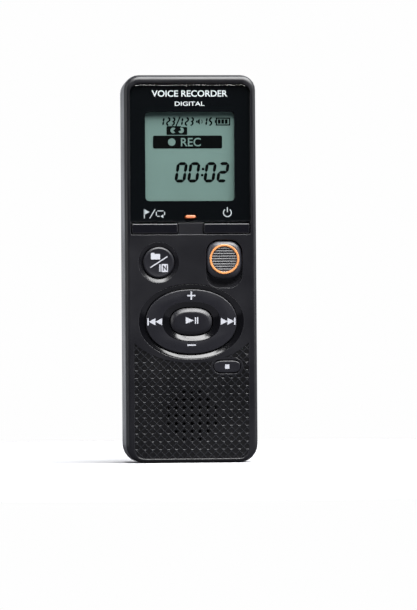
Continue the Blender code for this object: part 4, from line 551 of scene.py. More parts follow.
# text turned to a mesh, then put on a plane that faces front: its middle at (x, z)
def addText(bm, words, centre, capHeight, y, thickness, stretch=1.0, bold=0.0):
    curve = bpy.data.curves.new("lettering", "FONT")
    curve.body = words
    curve.align_x = "CENTER"
    curve.size = 1.0
    curve.offset = bold
    curve.resolution_u = 4
    label = bpy.data.objects.new("lettering", curve)
    bpy.context.scene.collection.objects.link(label)
    bpy.context.view_layer.update()
    mesh = bpy.data.meshes.new_from_object(label)
    heights = [v.co.y for v in mesh.vertices]
    sides = [v.co.x for v in mesh.vertices]
    scale = capHeight / (max(heights) - min(heights))
    middle = Vector(((max(sides) + min(sides)) / 2, (max(heights) + min(heights)) / 2, 0))
    place = (Matrix.Translation((centre[0], y, centre[1])) @ Matrix.Rotation(math.pi / 2, 4, "X")
             @ Matrix.Diagonal((scale * stretch, scale, 1, 1)) @ Matrix.Translation(-middle))
    mesh.transform(place)
    old = set(bm.faces)
    bm.from_mesh(mesh)
    fresh = [face for face in bm.faces if face not in old]
    made = bmesh.ops.extrude_face_region(bm, geom=fresh)["geom"]
    moved = [item for item in made if isinstance(item, bmesh.types.BMVert)]
    bmesh.ops.translate(bm, verts=moved, vec=(0, thickness, 0))
    bpy.data.objects.remove(label)
    bpy.data.curves.remove(curve)
    bpy.data.meshes.remove(mesh)


def closeUp(bm):
    bmesh.ops.remove_doubles(bm, verts=bm.verts, dist=0.0002 * mm)
    bmesh.ops.recalc_face_normals(bm, faces=bm.faces)


# outlines of the keys, as seen from the front
padShape = {"halfWide": 12.7 * mm, "halfHigh": 8.97 * mm, "power": 2.1}
padHole = {"halfWide": 6.1 * mm, "halfHigh": 4.1 * mm, "power": 2.4}
playShape = {"halfWide": 5.75 * mm, "halfHigh": 3.75 * mm, "power": 2.4}
folderShape = {"halfWide": 4.3 * mm, "halfHigh": 4.3 * mm, "power": 2.0}
stopShape = {"halfWide": 3.65 * mm, "halfHigh": 1.7 * mm, "power": 3.4}
knobShape = {"halfWide": 4.85 * mm, "halfHigh": 5.2 * mm, "power": 3.0}

cutPast = 1 * mm  # how far in front of a face its cutters begin


recess = {
    "foot": 0.9 * mm,  # how deep the seat of a lining is cut
    "gap": 0.2 * mm,  # left round the key
    "depth": 0.5 * mm,
    "bend": 1.15,  # 1 is a straight slope, more is hollow
    "steps": 10,
    "proud": 0.004 * mm,  # hides the seam between the lining and the cover
    "padReach": (1.95 * mm, 1.35 * mm),  # sideways and upwards past the pad
    "folderReach": (1.35 * mm, 1.35 * mm),
}


# the dished ring round a key, polished in the mould: gives back the cutter of its seat
def makeRecessRing(name, centre, keyShape, reach, material):
    r = recess
    rim = {"halfWide": keyShape["halfWide"] + reach[0], "halfHigh": keyShape["halfHigh"] + reach[1],
           "power": keyShape["power"]}
    foot = faceY + r["foot"]
    at = (centre.x, centre.z)
    levels = [(0, foot), (0, faceY - r["proud"])]
    for step in range(1, r["steps"] + 1):
        share = step / r["steps"]
        inset = ((reach[0] - r["gap"]) * share, (reach[1] - r["gap"]) * share)
        levels.append((inset, faceY + r["depth"] * share ** r["bend"]))
    levels.append((inset, foot))
    ring = bmesh.new()
    stackLoops(ring, at, rim, levels, count=128, ring=True)
    finishPiece(name, ring, material, "case", angle=30)
    seat = bmesh.new()
    stackLoops(seat, at, rim, [(0, foot), (0, faceY - cutPast)], count=128)
    return seat


def makeCase():
    padSeat = makeRecessRing("padRecessRing", padAt, padShape, recess["padReach"], finish["wall"])
    folderSeat = makeRecessRing("folderRecessRing", folderAt, folderShape, recess["folderReach"],
                                finish["satin"])
    smoothCopy("front_cover", "frontCover", finish["case"], cuts=[padSeat, folderSeat])
    smoothCopy("rear_cover", "rearCover", finish["case"])
    smoothCopy("battery_door", "batteryDoor", finish["case"])
    print("case made")


# the patterned panel over the speaker
grille = {
    "pitch": 2.2 * mm,
    "cells": 34,  # along each side of the net, before it is trimmed
    "ridge": 0.11 * mm,  # half of a ridge between two pockets
    "deepBowl": ((0.02, 0.12), (0.22, 0.02), (0.2, 0.01)),  # mm in and down, step by step
    "shallowBowl": ((0.02, 0.07), (0.25, 0.015)),
    "sunk": 0.015 * mm,  # the ridges lie this much behind the face
    "thickness": 0.3 * mm,
    "lipHalf": 0.37 * mm,
    "lipBelow": 0.62 * mm,  # under the middle of its pocket
    "lipRise": 0.2 * mm,
    "lipDepth": 0.19 * mm,
    "lipThick": 0.08 * mm,
    "lipClear": (5.2 * mm, 2.4 * mm),  # no lips this near the stop key
    "holeHalf": 0.55 * mm,
    "holeRows": (3, 5, 7, 7, 7, 5, 3),
    "sideInset": 2.45 * mm,
    "bottomInset": 1.3 * mm,
    "cornerRadius": 2.7 * mm,
    "arcWide": 18.45 * mm,  # the upper edge follows the pad
    "arcHigh": 11.45 * mm,
    "arcSteps": 32,
    "stopGap": 0.05 * mm,
    "cutDepth": 3 * mm,
}


def grilleOutline(bm):
    g = grille
    side, low = halfWidth - g["sideInset"], g["bottomInset"]
    reach = math.asin(side / g["arcWide"])
    corners = [(-side, low), (side, low)]
    for step in range(g["arcSteps"] + 1):
        turn = reach * (1 - 2 * step / g["arcSteps"])
        corners.append((g["arcWide"] * math.sin(turn), padAt.z - g["arcHigh"] * math.cos(turn)))
    addPlate(bm, corners, faceY - cutPast, g["cutDepth"])
    lower = [edge for edge in bm.edges
             if abs(edge.verts[0].co.z - low) < 1e-6 and abs(edge.verts[1].co.z - low) < 1e-6
             and abs(edge.verts[0].co.x - edge.verts[1].co.x) < 1e-6]
    bmesh.ops.bevel(bm, geom=lower, offset=g["cornerRadius"], segments=8, affect="EDGES", profile=0.5,
                    material=-1)
    bmesh.ops.recalc_face_normals(bm, faces=bm.faces)


def holePlaces():
    rows = len(grille["holeRows"])
    places = []
    for row, many in enumerate(grille["holeRows"]):
        z = centreOf("speaker_frame").z + grille["pitch"] * ((rows - 1) / 2 - row)
        places += [(grille["pitch"] * (column - (many - 1) / 2), z) for column in range(many)]
    return places


def lipWanted(x, z):
    g = grille
    pitch = g["pitch"]
    if z < g["bottomInset"] + 0.5 * pitch or abs(x) > halfWidth - g["sideInset"] - 0.2 * pitch:
        return False
    if z > padAt.z or (x / g["arcWide"]) ** 2 + ((z + 0.3 * pitch - padAt.z) / g["arcHigh"]) ** 2 < 1:
        return False
    clearWide, clearHigh = g["lipClear"]
    return not (abs(x - stopAt.x) < clearWide and abs(z - g["lipBelow"] - stopAt.z) < clearHigh)


# the small slanted lip at the low corner of each pocket of the main rows, narrower under a sound hole
def makeGrilleLips(topY):
    g = grille
    pitch = g["pitch"]
    taken = holePlaces()
    lips = bmesh.new()
    for row in range(-9, 10):
        for column in range(-7, 8):
            x, z = column * pitch, centreOf("speaker_frame").z + row * pitch
            if not lipWanted(x, z):
                continue
            half, below = g["lipHalf"], g["lipBelow"]
            if any(abs(x - hole[0]) + abs(z - hole[1]) < pitch / 4 for hole in taken):
                half, below = 0.6 * half, 1.15 * below
            low = z - below - g["lipRise"] / 2
            corners = [(x - half, topY, low), (x + half, topY, low),
                       (x + half * 0.7, topY + g["lipDepth"], low + g["lipRise"]),
                       (x - half * 0.7, topY + g["lipDepth"], low + g["lipRise"])]
            face = lips.faces.new([lips.verts.new(corner) for corner in corners])
            made = bmesh.ops.extrude_face_region(lips, geom=[face])["geom"]
            moved = [item for item in made if isinstance(item, bmesh.types.BMVert)]
            bmesh.ops.translate(lips, verts=moved, vec=(0, g["lipThick"], 0))
    bmesh.ops.recalc_face_normals(lips, faces=lips.faces)
    # the lips take the paler ridge finish: painted light where they catch the lamps
    finishPiece("grilleLips", lips, finish["grille"], "case")


# a slab of pockets: a square net turned by 45 degrees, one cell to each diamond
def grilleNet(topY):
    g = grille
    cell = g["pitch"] / math.sqrt(2)
    count = g["cells"]
    net = bmesh.new()
    bmesh.ops.create_grid(net, x_segments=count, y_segments=count, size=count * cell / 2)
    turned = Matrix.Rotation(math.radians(45), 4, "Y") @ Matrix.Rotation(math.pi / 2, 4, "X")
    # the middle of a cell sits on the middle hole
    net.transform(Matrix.Translation((0, 0, cell / math.sqrt(2) * (count % 2 - 1))) @ turned)
    middleZ = centreOf("speaker_frame").z + g["pitch"] * 3
    bmesh.ops.translate(net, verts=net.verts, vec=(0, topY, middleZ))
    far = [f for f in net.faces if abs(f.calc_center_median().x) > halfWidth + g["pitch"]
           or f.calc_center_median().z > padAt.z or f.calc_center_median().z < -g["pitch"]]
    bmesh.ops.delete(net, geom=far, context="FACES")
    back = bmesh.ops.extrude_face_region(net, geom=list(net.faces))["geom"]
    moved = [item for item in back if isinstance(item, bmesh.types.BMVert)]
    bmesh.ops.translate(net, verts=moved, vec=(0, g["thickness"], 0))
    bmesh.ops.recalc_face_normals(net, faces=net.faces)
    front = [f for f in net.faces if f.normal.y < -0.9]
    bmesh.ops.inset_individual(net, faces=front, thickness=g["ridge"], depth=0)

    def onMainColumn(face):
        return abs((face.calc_center_median().x / g["pitch"] + 0.25) % 1 - 0.25) < 0.2

    deep = [f for f in front if onMainColumn(f)]
    shallow = [f for f in front if not onMainColumn(f)]
    for faces, bowl in ((deep, g["deepBowl"]), (shallow, g["shallowBowl"])):
        for drawIn, drop in bowl:
            bmesh.ops.inset_individual(net, faces=faces, thickness=drawIn * mm, depth=-drop * mm)
    return net


def makeGrille():
    g = grille
    topY = faceY + g["sunk"]
    outline = bmesh.new()
    grilleOutline(outline)
    pattern = carve(grilleNet(topY), [outline], "INTERSECT")
    through = bmesh.new()
    half = g["holeHalf"]
    for x, z in holePlaces():
        addPlate(through, ((x + half, z), (x, z + half), (x - half, z), (x, z - half)),
                 faceY - cutPast, g["cutDepth"])
    bmesh.ops.recalc_face_normals(through, faces=through.faces)
    # room for the stop key
    island = bmesh.new()
    stopSize = sizeOf("stop_button") / 2
    reachX, reachZ = stopSize.x + g["stopGap"], stopSize.z + g["stopGap"]
    addPlate(island, boxCorners(stopAt.x - reachX, stopAt.z - reachZ, stopAt.x + reachX, stopAt.z + reachZ),
             faceY - cutPast, g["cutDepth"], cornerRadius=reachZ - 0.02 * mm, segments=8)
    bmesh.ops.recalc_face_normals(island, faces=island.faces)
    pattern = carve(pattern, [through, island])
    piece = finishPiece("grillePattern", pattern, [finish["grille"], finish["pocket"]], "case",
                        angle=40)
    # flat ridge tops take the paler finish and all else the near-black one: painted light on the ridges,
    # painted shade in the pockets
    for face in piece.data.polygons:
        flatTop = face.normal.y < -0.99 and face.center.y < topY + 0.01 * mm
        face.material_index = 0 if flatTop else 1
    makeGrilleLips(topY)
    print("grille made")


# levels of the flange that holds a key in from behind, and of the start of its wall
def flangeLevels(back, reach, thickness):
    return [(-reach, back), (-reach, back - thickness), (0, back - thickness)]


# levels from a list of (mm in, mm back from the front)
def profileLevels(front, profile):
    return [(inset * mm, front + depth * mm) for inset, depth in profile]


padKey = {
    "flange": (0.65 * mm, 0.5 * mm),  # reach and thickness
    "edge": 0.3 * mm,
    "dishWide": 1.9 * mm,  # the dish round the play key, sideways and upwards
    "dishHigh": 1.4 * mm,
    "dishDepth": 0.58 * mm,
    "dishBend": 1.15,
    "dishSteps": 10,
}


def makeDirectionPad():
    k = padKey
    low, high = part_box("direction_pad")
    front, back = low.y, high.y
    at = (padAt.x, padAt.z)
    bm = bmesh.new()
    stackLoops(bm, at, padShape, flangeLevels(back, *k["flange"]) + roundedEdge(front, k["edge"]))
    hole = bmesh.new()
    levels = [(0, back + cutPast), (0, front + k["dishDepth"])]
    for step in range(1, k["dishSteps"] + 1):
        share = step / k["dishSteps"]
        levels.append(((-k["dishWide"] * share, -k["dishHigh"] * share),
                       front + k["dishDepth"] * (1 - share) ** k["dishBend"]))
    levels.append(((-k["dishWide"] - 0.2 * mm, -k["dishHigh"] - 0.2 * mm), front - 0.4 * mm))
    stackLoops(hole, at, padHole, levels)
    bm = carve(bm, [hole])
    piece = finishPiece("directionPad", bm, [finish["keys"], finish["wall"]], "pad",
                        ("direction_pad",), angle=30)
    # the dish is polished, the rest is matte
    for face in piece.data.polygons:
        out = face.center - padAt
        across = (abs(out.x) / (padHole["halfWide"] + k["dishWide"])) ** 2.3
        upward = (abs(out.z) / (padHole["halfHigh"] + k["dishHigh"])) ** 2.3
        sunk = front + 0.002 * mm < face.center.y < front + k["dishDepth"] + 0.1 * mm
        if across + upward < 1.01 and sunk:
            face.material_index = 1


playKey = {
    "flange": (0.8 * mm, 0.4 * mm),
    "shoulderWide": 1.2 * mm,
    "shoulderDrop": 0.72 * mm,
    "shoulderBend": 1.45,
    "shoulderSteps": 8,
    "top": ((1.9, 0.03), (3.0, 0.05)),  # barely dished: mm in and down
}


def makePlayKey():
    k = playKey
    low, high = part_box("play_button")
    front = low.y
    levels = flangeLevels(high.y, *k["flange"]) + [(0, front + k["shoulderDrop"])]
    for step in range(1, k["shoulderSteps"] + 1):
        share = step / k["shoulderSteps"]
        levels.append((k["shoulderWide"] * share,
                       front + k["shoulderDrop"] * (1 - share) ** k["shoulderBend"]))
    bm = bmesh.new()
    stackLoops(bm, (playAt.x, playAt.z), playShape, levels + profileLevels(front, k["top"]))
    finishPiece("playKey", bm, finish["keys"], "play_key", ("play_button",), angle=30)


folderKey = {
    "flange": (0.8 * mm, 0.6 * mm),
    # a narrow rim round a shallow bowl: mm in and down
    "profile": ((0, 0.32), (0.12, 0.14), (0.45, 0), (0.6, 0.03), (1.6, 0.09), (3.0, 0.12)),
}


def makeFolderKey():
    low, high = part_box("folder_button")
    bm = bmesh.new()
    stackLoops(bm, (folderAt.x, folderAt.z), folderShape,
               flangeLevels(high.y, *folderKey["flange"]) + profileLevels(low.y, folderKey["profile"]))
    finishPiece("folderKey", bm, finish["keys"], "folder_key",
                ("folder_button",), angle=28)


stopKey = {
    "flange": (0.8 * mm, 0.6 * mm),
    "edge": 0.3 * mm,
    "top": ((0.9, 0.04),),
}


def makeStopKey():
    low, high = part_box("stop_button")
    levels = flangeLevels(high.y, *stopKey["flange"]) + roundedEdge(low.y, stopKey["edge"])
    bm = bmesh.new()
    stackLoops(bm, (stopAt.x, stopAt.z), stopShape, levels + profileLevels(low.y, stopKey["top"]), count=64)
    finishPiece("stopKey", bm, finish["keys"], "stop_key", ("stop_button",))


barKeys = {
    "names": {"index_button": "indexKey", "power_button": "powerKey"},
    "edge": 0.35 * mm,
    "edgeAngle": 50,  # sharper corners than this, in degrees, are rounded
    "segments": 5,
}


def makeBarKeys():
    for node, name in barKeys["names"].items():
        piece = smoothCopy(node, name, finish["gloss"], 30)
        soft = piece.modifiers.new("softEdges", "BEVEL")
        soft.limit_method = "ANGLE"
        soft.angle_limit = math.radians(barKeys["edgeAngle"])
        soft.width = barKeys["edge"]
        soft.segments = barKeys["segments"]


slide = {
    # the hidden plate behind the case
    "plate": {"halfWide": 5.4 * mm, "halfHigh": 7.0 * mm, "power": 5.0},
    "plateThick": 0.35 * mm,
    "knobFoot": 0.3 * mm,
    "flatSunk": 0.12 * mm,  # how far back the flat lies that carries the ring
    "flatInset": 1.9 * mm,
    "shoulderStart": 1.0 * mm,
    "shoulderWide": 1.3 * mm,
    "shoulderDrop": 0.88 * mm,
    "shoulderBend": 1.5,
    "shoulderSteps": 8,
    "wellGap": 0.05 * mm,
    "wellDepth": 0.75 * mm,
    "ringRadius": 3.85 * mm,
    "ringWidth": 0.62 * mm,
    "ringProud": 0.15 * mm,
    "ringFoot": 0.3 * mm,
    "ringEdge": 0.14 * mm,
    "ribPitch": 0.72 * mm,
    "ribDepth": 0.22 * mm,
    "ribRadius": 3.45 * mm,
    "ribSunk": 0.3 * mm,
    "ribCrown": 0.22 * mm,  # the ribbed face stands this much further out at its rim
    "ribFoot": 0.72 * mm,
    "ribGrid": (48, 112),
}


def makeSlideKnob(front, at):
    s = slide
    low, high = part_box("record_slide")
    levels = [(0, high.y - s["knobFoot"]), (0, front + s["shoulderStart"])]
    for step in range(1, s["shoulderSteps"] + 1):
        share = step / s["shoulderSteps"]
        levels.append((s["shoulderWide"] * share,
                       front + s["flatSunk"] + s["shoulderDrop"] * (1 - share) ** s["shoulderBend"]))
    levels.append((s["flatInset"], front + s["flatSunk"]))
    knob = bmesh.new()
    stackLoops(knob, at, knobShape, levels)
    well = bmesh.new()
    reach = s["ribRadius"] + s["wellGap"]
    stackLoops(well, at, {"halfWide": reach, "halfHigh": reach, "power": 2.0},
               [(0, front + s["wellDepth"]), (0, front - cutPast)], count=72)
    knob = carve(knob, [well])
    stackLoops(knob, (at[0], (low.z + high.z) / 2), s["plate"],
               [(0, high.y), (0, high.y - s["plateThick"])], count=64)
    finishPiece("recordSlideKnob", knob, finish["knob"], "record_slider",
                ("record_slide",), angle=30)


def makeSlideRing(front, at):
    s = slide
    width, edge = s["ringWidth"], s["ringEdge"]
    reach = s["ringRadius"] + width / 2
    top, foot = front - s["ringProud"], front + s["ringFoot"]
    levels = [(0, foot)] + roundedEdge(top, edge, steps=4)
    levels += [(width - edge, top), (width - 0.04 * mm, top + 0.04 * mm), (width, top + edge), (width, foot)]
    ring = bmesh.new()
    stackLoops(ring, at, {"halfWide": reach, "halfHigh": reach, "power": 2.0}, levels, ring=True)
    finishPiece("recordSlideRing", ring, finish["orange"], "record_slider",
                ("record_slide_ring",))


# the ribbed thumb pad inside the ring
def makeSlideRibs(front, at):
    s = slide
    columns, rows = s["ribGrid"]
    ribs = bmesh.new()
    bmesh.ops.create_grid(ribs, x_segments=columns, y_segments=rows, size=s["ribRadius"] * 1.08)
    ribs.transform(Matrix.Rotation(math.pi / 2, 4, "X"))
    for vert in ribs.verts:
        wave = math.cos(2 * math.pi * vert.co.z / s["ribPitch"])
        reach = (vert.co.x ** 2 + vert.co.z ** 2) / s["ribRadius"] ** 2
        vert.co.y = front + s["ribSunk"] - s["ribCrown"] * reach - s["ribDepth"] / 2 * wave
    far = [v for v in ribs.verts if math.hypot(v.co.x, v.co.z) > s["ribRadius"] * 1.04]
    bmesh.ops.delete(ribs, geom=far, context="VERTS")
    bmesh.ops.translate(ribs, verts=ribs.verts, vec=(at[0], 0, at[1]))
    made = bmesh.ops.extrude_face_region(ribs, geom=list(ribs.faces))["geom"]
    for item in made:
        if isinstance(item, bmesh.types.BMVert):
            item.co.y = front + s["ribFoot"]
    bmesh.ops.recalc_face_normals(ribs, faces=ribs.faces)
    finishPiece("recordSlideRibs", ribs, finish["rib"], "record_slider")


def makeRecordSlide():
    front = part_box("record_slide")[0].y
    at = (slideRingAt.x, slideRingAt.z)
    makeSlideKnob(front, at)
    makeSlideRing(front, at)
    makeSlideRibs(front, at)


def makeKeys():
    makeDirectionPad()
    makePlayKey()
    makeFolderKey()
    makeStopKey()
    makeBarKeys()
    makeRecordSlide()
    print("keys made")


window = {
    "topCorner": 2.4 * mm,
    "lowCorner": 0.5 * mm,
    "edge": 0.45 * mm,
    "lampGap": 0.2 * mm,
    "cutDepth": 4 * mm,
    "borderInset": 0.1 * mm,
    "borderDeep": 0.16 * mm,  # its front, from the back of the window
    "borderThick": 0.12 * mm,
    "borderCorner": 2.3 * mm,
    "viewHalf": 12.5 * mm,
    "viewFromTop": 1.4 * mm,  # the border covers this much of the glass behind it
    "viewFromLow": 2.3 * mm,
    "viewCorner": 1.0 * mm,
    "inkRise": 0.03 * mm,  # the signs stand this far in front of the border
    "inkThick": 0.02 * mm,
}


def bevelUprights(bm, offset, segments, wanted):
    upright = [e for e in bm.edges if abs(e.verts[0].co.y - e.verts[1].co.y) > 0.05 * mm
               and wanted(e.verts[0].co.z)]
    bmesh.ops.bevel(bm, geom=upright, offset=offset, segments=segments, affect="EDGES", profile=0.5,
                    material=-1)


def makeWindow():
    w = window
    low, high = glass
    lens = bmesh.new()
    addPlate(lens, boxCorners(low.x, low.z, high.x, high.z), low.y, high.y - low.y)
    bevelUprights(lens, w["topCorner"], 10, lambda z: z > high.z - 0.1 * mm)
    bevelUprights(lens, w["lowCorner"], 4, lambda z: z < low.z + 0.1 * mm)
    front = [e for e in lens.edges if all(abs(v.co.y - low.y) < 1e-6 for v in e.verts)]
    bmesh.ops.bevel(lens, geom=front, offset=w["edge"], segments=6, affect="EDGES", profile=0.5, material=-1)
    bmesh.ops.recalc_face_normals(lens, faces=lens.faces)
    # the lamp's hole
    lampLow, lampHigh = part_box("record_lamp_lens")
    hole = bmesh.new()
    gap = w["lampGap"]
    halfHigh = (lampHigh.z - lampLow.z) / 2 + gap
    addPlate(hole, boxCorners(lampLow.x - gap, lampLow.z - gap, lampHigh.x + gap, lampHigh.z + gap),
             low.y - cutPast, w["cutDepth"], cornerRadius=halfHigh * 0.98, segments=8)
    bmesh.ops.recalc_face_normals(hole, faces=hole.faces)
    holeAgain = hole.copy()
    lens = carve(lens, [hole])
    finishPiece("windowLens", lens, finish["acrylic"], "case", ("display_window",))
    makeWindowBorder(holeAgain)
    print("window made")


# the black border, printed on the back of the window round a clear opening
def makeWindowBorder(lampHole):
    w = window
    low, high = glass
    inset = w["borderInset"]
    border = bmesh.new()
    addPlate(border, boxCorners(low.x + inset, low.z + inset, high.x - inset, high.z - inset),
             high.y - w["borderDeep"], w["borderThick"])
    bevelUprights(border, w["borderCorner"], 10, lambda z: z > high.z - 0.2 * mm)
    bmesh.ops.recalc_face_normals(border, faces=border.faces)
    opening = bmesh.new()
    addPlate(opening, boxCorners(-w["viewHalf"], lcd[0].z + w["viewFromLow"], w["viewHalf"], viewTop()),
             low.y - cutPast, w["cutDepth"], cornerRadius=w["viewCorner"], segments=6)
    bmesh.ops.recalc_face_normals(opening, faces=opening.faces)
    border = carve(border, [opening, lampHole])
    finishPiece("windowBorder", border, finish["border"], "case")


def viewTop():
    return lcd[1].z - window["viewFromTop"]


# which of the seven bars each figure lights: a top, b upper right, c lower right, d bottom,
# e lower left, f upper left, g middle
litBars = {"0": "abcdef", "1": "bc", "2": "abged", "3": "abgcd", "5": "afgcd"}

display = {
    "slant": 0.15,
    "rise": 0.03 * mm,  # in front of the glass
    "thick": 0.02 * mm,
    "digit": {"width": 3.1 * mm, "height": 5.7 * mm, "stroke": 0.86 * mm, "gap": 0.13 * mm},
    "digitDown": 19.7,  # mm from the top of the view
    "digits": (("0", -4.35), ("0", -0.8), ("0", 3.75), ("2", 7.35)),
    "colonAt": 3.2 * mm,
    "colonRises": (2.05 * mm, 3.75 * mm),
    "colonHalf": 0.35 * mm,
    "figure": {"width": 1.08 * mm, "height": 2.45 * mm, "stroke": 0.48 * mm, "gap": 0.03 * mm},
    "figureDown": 3.9,
    "figures": (("1", -8.25), ("2", -6.6), ("3", -5.2), ("1", -3.0), ("2", -1.4), ("3", 0.0),
                ("1", 3.8), ("5", 5.25)),
    "batteryLeft": 7.3 * mm,
    "batteryRight": 11.4 * mm,
    # boxes in mm: left, low edge down, right, upper edge down
    "badge": (-6.4, 6.4, -0.6, 4.2),
    "badgeTab": (-6.35, 4.9, -2.3, 3.95),
    "recordBar": (-10.2, 10.2, 9.15, 6.6),
    "recordDot": (-4.95, 8.4),  # mm across and down
    "recordWord": (0.4, 8.42),
    "badgeMarks": ((-4.5, 40), (-2.3, 200)),  # mm across, and where each open ring starts in degrees
    "badgeMarksDown": 5.15,
}


def addFigures(bm, figures, shape, base, y):
    for figure, left in figures:
        addFigure(bm, figure, left * mm, base, shape, y)


def addFigure(bm, figure, left, base, shape, y):
    width, height, gap, edge = shape["width"], shape["height"], shape["gap"], shape["stroke"] / 2
    half = height / 2
    ends = {
        "a": (edge + gap, height - edge, width - edge - gap, height - edge),
        "d": (edge + gap, edge, width - edge - gap, edge),
        "g": (edge + gap, half, width - edge - gap, half),
        "f": (edge, half + gap, edge, height - edge - gap),
        "b": (width - edge, half + gap, width - edge, height - edge - gap),
        "e": (edge, edge + gap, edge, half - gap),
        "c": (width - edge, edge + gap, width - edge, half - gap),
    }
    for bar in litBars[figure]:
        x0, z0, x1, z1 = ends[bar]
        point = edge * 0.9
        if z0 == z1:
            corners = ((x0 - point * 0.4, z0), (x0 + point, z0 - edge), (x1 - point, z1 - edge),
                       (x1 + point * 0.4, z1), (x1 - point, z1 + edge), (x0 + point, z0 + edge))
        else:
            corners = ((x0, z0 - point * 0.4), (x0 + edge, z0 + point), (x1 + edge, z1 - point),
                       (x1, z1 + point * 0.4), (x1 - edge, z1 - point), (x0 - edge, z0 + point))
        leaning = [(left + x + display["slant"] * z, base + z) for x, z in corners]
        addPlate(bm, leaning, y, display["thick"])


def addColon(bm, base, y):
    half = display["colonHalf"]
    for rise in display["colonRises"]:
        x, z = display["colonAt"] + display["slant"] * rise, base + rise
        addPlate(bm, boxCorners(x - half, z - half, x + half, z + half), y, display["thick"],
                 cornerRadius=0.2 * mm)


def addSpeakerSign(bm, middle, y):
    thick = display["thick"]
    addPlate(bm, boxCorners(1.9 * mm, middle - 0.3 * mm, 2.3 * mm, middle + 0.3 * mm), y, thick)
    addPlate(bm, ((2.35 * mm, middle - 0.3 * mm), (2.95 * mm, middle - 0.85 * mm),
                  (2.95 * mm, middle + 0.85 * mm), (2.35 * mm, middle + 0.3 * mm)), y, thick)


def addBatterySign(bm, middle, y):
    left, right, thick = display["batteryLeft"], display["batteryRight"], display["thick"]
    for z in (middle - 0.95 * mm, middle + 0.95 * mm):
        addPlate(bm, barCorners(left + 0.2 * mm, z, right, z, 0.32 * mm), y, thick)
    for x in (left + 0.3 * mm, right - 0.1 * mm):
        addPlate(bm, barCorners(x, middle - 1.1 * mm, x, middle + 1.1 * mm, 0.34 * mm), y, thick)
    addPlate(bm, boxCorners(left - 0.15 * mm, middle - 0.4 * mm, left + 0.15 * mm, middle + 0.4 * mm),
             y, thick)
    for number in range(3):
        x = left + 0.7 * mm + number * 0.98 * mm
        addPlate(bm, boxCorners(x, middle - 0.6 * mm, x + 0.76 * mm, middle + 0.62 * mm), y, thick)


def makeDisplay():
    d = display
    y, thick = lcd[0].y - d["rise"], d["thick"]
    top = viewTop()

    def down(distance):
        return top - distance * mm

    dark = bmesh.new()
    addFigures(dark, d["digits"], d["digit"], down(d["digitDown"]), y)
    addColon(dark, down(d["digitDown"]), y)
    # file counter and volume
    base = down(d["figureDown"])
    middle = base + 1.2 * mm
    addFigures(dark, d["figures"], d["figure"], base, y)
    addPlate(dark, barCorners(-3.75 * mm, base - 0.1 * mm, -2.55 * mm, base + 2.6 * mm, 0.36 * mm), y, thick)
    addSpeakerSign(dark, middle, y)
    addBatterySign(dark, middle, y)
    # folder badge under the counter, then the recording bar
    for name, front, corner in (("badge", y, 0.25 * mm), ("badgeTab", y - 0.001 * mm, 0.2 * mm),
                                ("recordBar", y, 0.4 * mm)):
        left, low, right, high = d[name]
        addPlate(dark, boxCorners(left * mm, down(low), right * mm, down(high)), front, thick,
                 cornerRadius=corner)
    closeUp(dark)
    finishPiece("displayFigures", dark, finish["segment"], "case")
    wave = bmesh.new()
    addArc(wave, (2.75 * mm, middle), 0.85 * mm, 0.2 * mm, y, thick, -38, 76, 8)
    closeUp(wave)
    finishPiece("displaySoundWave", wave, finish["segment"], "case")
    # the signs that show through the bar and the badge in the display's own grey-green
    clear = bmesh.new()
    front, thin = y - 0.012 * mm, 0.01 * mm
    x, below = d["recordDot"]
    addArc(clear, (x * mm, down(below)), 0.53 * mm, 1.05 * mm, front, thin, 0, 360, 28)
    x, below = d["recordWord"]
    addText(clear, "REC", (x * mm, down(below)), 2.4 * mm, front, thin, stretch=0.98, bold=0.012)
    for x, start in d["badgeMarks"]:
        addArc(clear, (x * mm, down(d["badgeMarksDown"])), 0.4 * mm, 0.78 * mm, front, thin, start, 270, 20)
    finishPiece("displayClearSigns", clear, finish["lcd"], "case")
    print("display made")


def inkY():
    return glass[1].y - window["borderDeep"] - window["inkRise"]


# what is printed on the window: mm across, and down from the top of the case
windowInk = {
    "legends": (("VOICE RECORDER", 5.15, 1.8, 1.03, 0.014),  # words, down, height, stretch, boldness
                ("DIGITAL", 8.0, 1.2, 1.34, 0.006)),
    "flagAt": (-12.85, 38.6),
    "slashFrom": -11.35,
    "slashTo": -9.85,
    "loopFrom": -9.5,
    "loopTo": -7.2,
    "loopHalfHigh": 0.75 * mm,
    "loopStroke": 0.24 * mm,
    "powerAt": (10.35, 38.4),
    "powerRadius": 1.1 * mm,
    "powerStroke": 0.27 * mm,
}


def makeWindowPrints():
    y, thick = inkY(), window["inkThick"]

    def down(distance):
        return topZ - distance * mm

    legend = bmesh.new()
    for words, below, height, stretch, bold in windowInk["legends"]:
        addText(legend, words, (0, down(below)), height * mm, y, thick, stretch=stretch, bold=bold)
    closeUp(legend)
    finishPiece("windowLegend", legend, finish["legend"], "case")
    x, below = windowInk["flagAt"]
    makeFlagAndLoop(x * mm, down(below), y, thick)
    x, below = windowInk["powerAt"]
    makePowerSign((x * mm, down(below)), y, thick)


